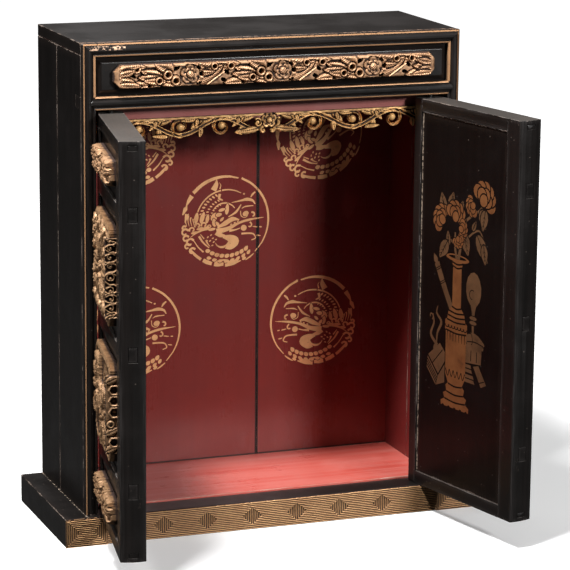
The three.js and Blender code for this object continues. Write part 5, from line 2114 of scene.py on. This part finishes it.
    def carve_scrolls(self, relief: Relief, depth: float) -> None:
        """A big blossom in openwork of curls and narrow leaves, symmetrical about its middle.

        Args:
            relief: The panel.
            depth: Its full depth.
        """
        half_w, half_h = relief.u[-1] / MM, relief.v[-1] / MM
        edge, rise = depth - 6.0 * MM, 5.4 * MM
        for i in range(12):
            angle = 30 * i + 15
            wide = abs(math.cos(math.radians(angle)))
            relief.leaf(polar((0.0, 0.0), 13 * MM, angle), angle, (22 + 18 * wide) * MM, 11 * MM, edge, rise,
                        35 if i % 2 else -35)
        for right in (-1, 1):
            for up in (-1, 1):
                for du, dv, radius, start, turns in (
                        (half_w - 12, half_h - 15, 11, -90, 1.2), (half_w - 36, half_h - 12, 9, 180, 1.1),
                        (half_w - 10, half_h - 38, 9, 90, -1.1), (12, half_h - 10, 8, 0, 1.1),
                        (half_w - 27, half_h - 31, 7, 200, 1.0)):
                    begin = start if right > 0 else 180 - start
                    relief.curl(mm(right * du, up * dv), radius * MM, begin * up, right * up * turns,
                                2.2 * MM, edge, rise)
        relief.blossom((0.0, 0.0), 17 * MM, edge - 2 * MM, depth - edge + 1.6 * MM, 6)

    def carve_garden(self, relief: Relief, depth: float) -> None:
        """Two blossoms among broad leaves over thick wood with large openings.

        Args:
            relief: The panel.
            depth: Its full depth.
        """
        edge, rise = depth - 5.4 * MM, 5.2 * MM
        relief.h[:] = np.maximum(relief.h, edge)
        for side in (-1, 1):
            middle = mm(side * 27, side * -10)
            for i in range(8):
                angle = 45 * i + 10
                relief.leaf(polar(middle, 9 * MM, angle), angle, 24 * MM, 13 * MM, edge, rise, 25 * side, 4)
            branch = [(2, -46), (6, -20), (2, 6), (-12, 30)]
            relief.stem([mm(side * u, side * v) for u, v in branch], [2.6 * MM] * 4, edge, rise, True)
            for du, dv, angle, length, width, bow in ((-14, 32, 60, 30, 14, 20), (42, 24, -40, 24, 12, -20)):
                relief.leaf(mm(side * du, side * dv), 90 + side * angle, length * MM, width * MM, edge,
                            rise, bow, 4)
            for du, dv, radius, stretch, angle in (
                    (10, 24, 4.2, 1.6, 80), (38, 30, 4.0, 1.5, 10), (50, 6, 3.6, 1.6, 85),
                    (48, -34, 3.8, 1.5, 20), (8, -36, 3.6, 1.4, 70), (28, -43, 3.2, 1.6, 0),
                    (24, 38, 3.0, 1.6, 0)):
                relief.hole(mm(side * du, side * dv), radius * MM, stretch, angle)
            relief.blossom(middle, 13.5 * MM, edge - 2 * MM, depth - edge + 1.6 * MM, 5)

    def paint_inner(self) -> None:
        """Paints the board on the inner face."""
        node = f"{self.place.body}_inner_board"
        painting = Painting()
        if self.painted:
            FlowerVase().paint(painting)
        low, high = self.place.box(node)
        worn = (0.30, 0.235, 0.18)
        face = (high.y - 1 * MM, FAR)
        hinge_side = Region(worn, (low.x - 1 * MM, low.x + 2.2 * MM), face, roughness=MATT, wear=0.9)
        top_side = Region(worn, y=face, z=(high.z - 0.9 * MM, FAR), roughness=MATT, wear=1.1)
        ground = PAINTED_BLACK.material(self.place, low, high, Grain.ALONG_Z, (hinge_side, top_side), node)
        materials = [ground, VASE_COPPER.material(), VASE_DULL.material()]
        painted_board(f"{node}_painted", self.place, node, painting, materials, 1.0)


@dataclass
class Studio:
    """The pale floor, the soft lights and the camera."""

    location: Corner = (-1.0228, -2.8549, 0.9288)
    yaw: float = 20.47
    pitch: float = 12.56
    roll: float = 0.52
    focal: float = 2800 / 570 * 36
    lights: Sequence[tuple[str, float, float, float, float, float]] = (
        ("key", 21.0, 21.0, 3.0, 0.4, 66.0),
        ("top", -48.0, 64.0, 2.2, 0.3, 92.0),
        ("left", -84.0, 28.0, 2.5, 0.4, 17.0),
        ("back", 180.0, 50.0, 2.6, 0.8, 16.0),
    )

    def build(self) -> None:
        """Builds floor, lights, world and camera."""
        self.build_floor()
        for light in self.lights:
            self.build_light(*light)
        self.build_world()
        self.build_camera()
        bpy.context.scene.view_settings.view_transform = "Standard"

    def build_floor(self) -> None:
        """A plain pale floor, which the camera sees brighter further off and the cabinet sees dimmer."""
        mesh = bpy.data.meshes.new("floor")
        half = 12.0
        mesh.from_pydata([(-half, -half, 0), (half, -half, 0), (half, half, 0), (-half, half, 0)], [],
                         [(0, 1, 2, 3)])
        floor = bpy.data.objects.new("floor", mesh)
        bpy.context.scene.collection.objects.link(floor)
        material, nodes = new_material("pale_floor")
        position = nodes.add("TexCoord").outputs["Object"]
        seen = nodes.add("LightPath").outputs["Is Camera Ray"]
        grain = nodes.noise(position, 40.0, 2.0)
        pale = nodes.mix(grain, (0.80, 0.80, 0.80), (0.84, 0.84, 0.84))
        reach = nodes.add("VectorMath", {0: position}, operation="LENGTH").outputs["Value"]
        away = nodes.step(reach, 0.2, 2.2)
        glow = nodes.times(seen, nodes.lerp(away, 0.25, 1.0))
        shader = nodes.add("BsdfPrincipled", {
            "Base Color": nodes.mix(seen, (0.02, 0.02, 0.02), pale), "Roughness": 0.8,
            "Emission Color": nodes.mix(glow, (0.0, 0.0, 0.0), (1.0, 1.0, 1.0)), "Emission Strength": 1.0})
        nodes.add("OutputMaterial", {"Surface": shader.outputs[0]})
        mesh.materials.append(material)

    def build_light(self, name: str, azimuth: float, elevation: float, distance: float, size: float,
                    power: float) -> None:
        """One soft square light that faces the cabinet.

        Args:
            name: Its name.
            azimuth: Its direction from the front, in degrees, over 0 to the right.
            elevation: Its direction above the floor, in degrees.
            distance: How far it stands.
            size: Its side.
            power: Its power in watts.
        """
        data = bpy.data.lights.new(name, "AREA")
        data.size = size
        data.energy = power
        light = bpy.data.objects.new(name, data)
        across, up = math.radians(azimuth), math.radians(elevation)
        toward = Vector((math.sin(across) * math.cos(up), -math.cos(across) * math.cos(up), math.sin(up)))
        light.location = Vector((0.0, 0.0, 0.25)) + distance * toward
        light.rotation_euler = (-toward).to_track_quat("-Z", "Y").to_euler()
        bpy.context.scene.collection.objects.link(light)

    def build_world(self) -> None:
        """A white surround for the camera, dim for everything that it lights."""
        world = bpy.data.worlds.new("studio")
        world.use_nodes = True
        bpy.context.scene.world = world
        nodes = Nodes(world.node_tree)
        seen = nodes.add("LightPath").outputs["Is Camera Ray"]
        strength = nodes.lerp(seen, 0.012, 1.0)
        background = nodes.add("Background", {"Color": (1.0, 1.0, 1.0), "Strength": strength})
        nodes.add("OutputWorld", {"Surface": background.outputs[0]})

    def build_camera(self) -> None:
        """The camera at the photograph's angle."""
        yaw, pitch, roll = (math.radians(a) for a in (self.yaw, self.pitch, self.roll))
        forward = Vector((math.sin(yaw) * math.cos(pitch), math.cos(yaw) * math.cos(pitch), -math.sin(pitch)))
        level = Vector((math.cos(yaw), -math.sin(yaw), 0.0))
        above = level.cross(forward)
        right = math.cos(roll) * level + math.sin(roll) * above
        up = math.cos(roll) * above - math.sin(roll) * level
        data = bpy.data.cameras.new("camera")
        data.sensor_width = 36.0
        data.lens = self.focal
        data.clip_end = 30.0
        camera = bpy.data.objects.new("camera", data)
        turned = Matrix((right, up, -forward)).transposed().to_4x4()
        camera.matrix_world = Matrix.Translation(self.location) @ turned
        bpy.context.scene.collection.objects.link(camera)
        bpy.context.scene.camera = camera


def main() -> None:
    """Builds and dresses the cabinet."""
    logging.basicConfig(level=logging.INFO, format="%(message)s")
    Studio().build()
    case = Case()
    case.build()
    case.dress()
    Plinth().build()
    for place in DOORS:
        door = Door(place, painted=place.mirrored)
        door.build()
        door.dress()
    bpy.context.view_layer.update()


if __name__ == "__main__":
    main()
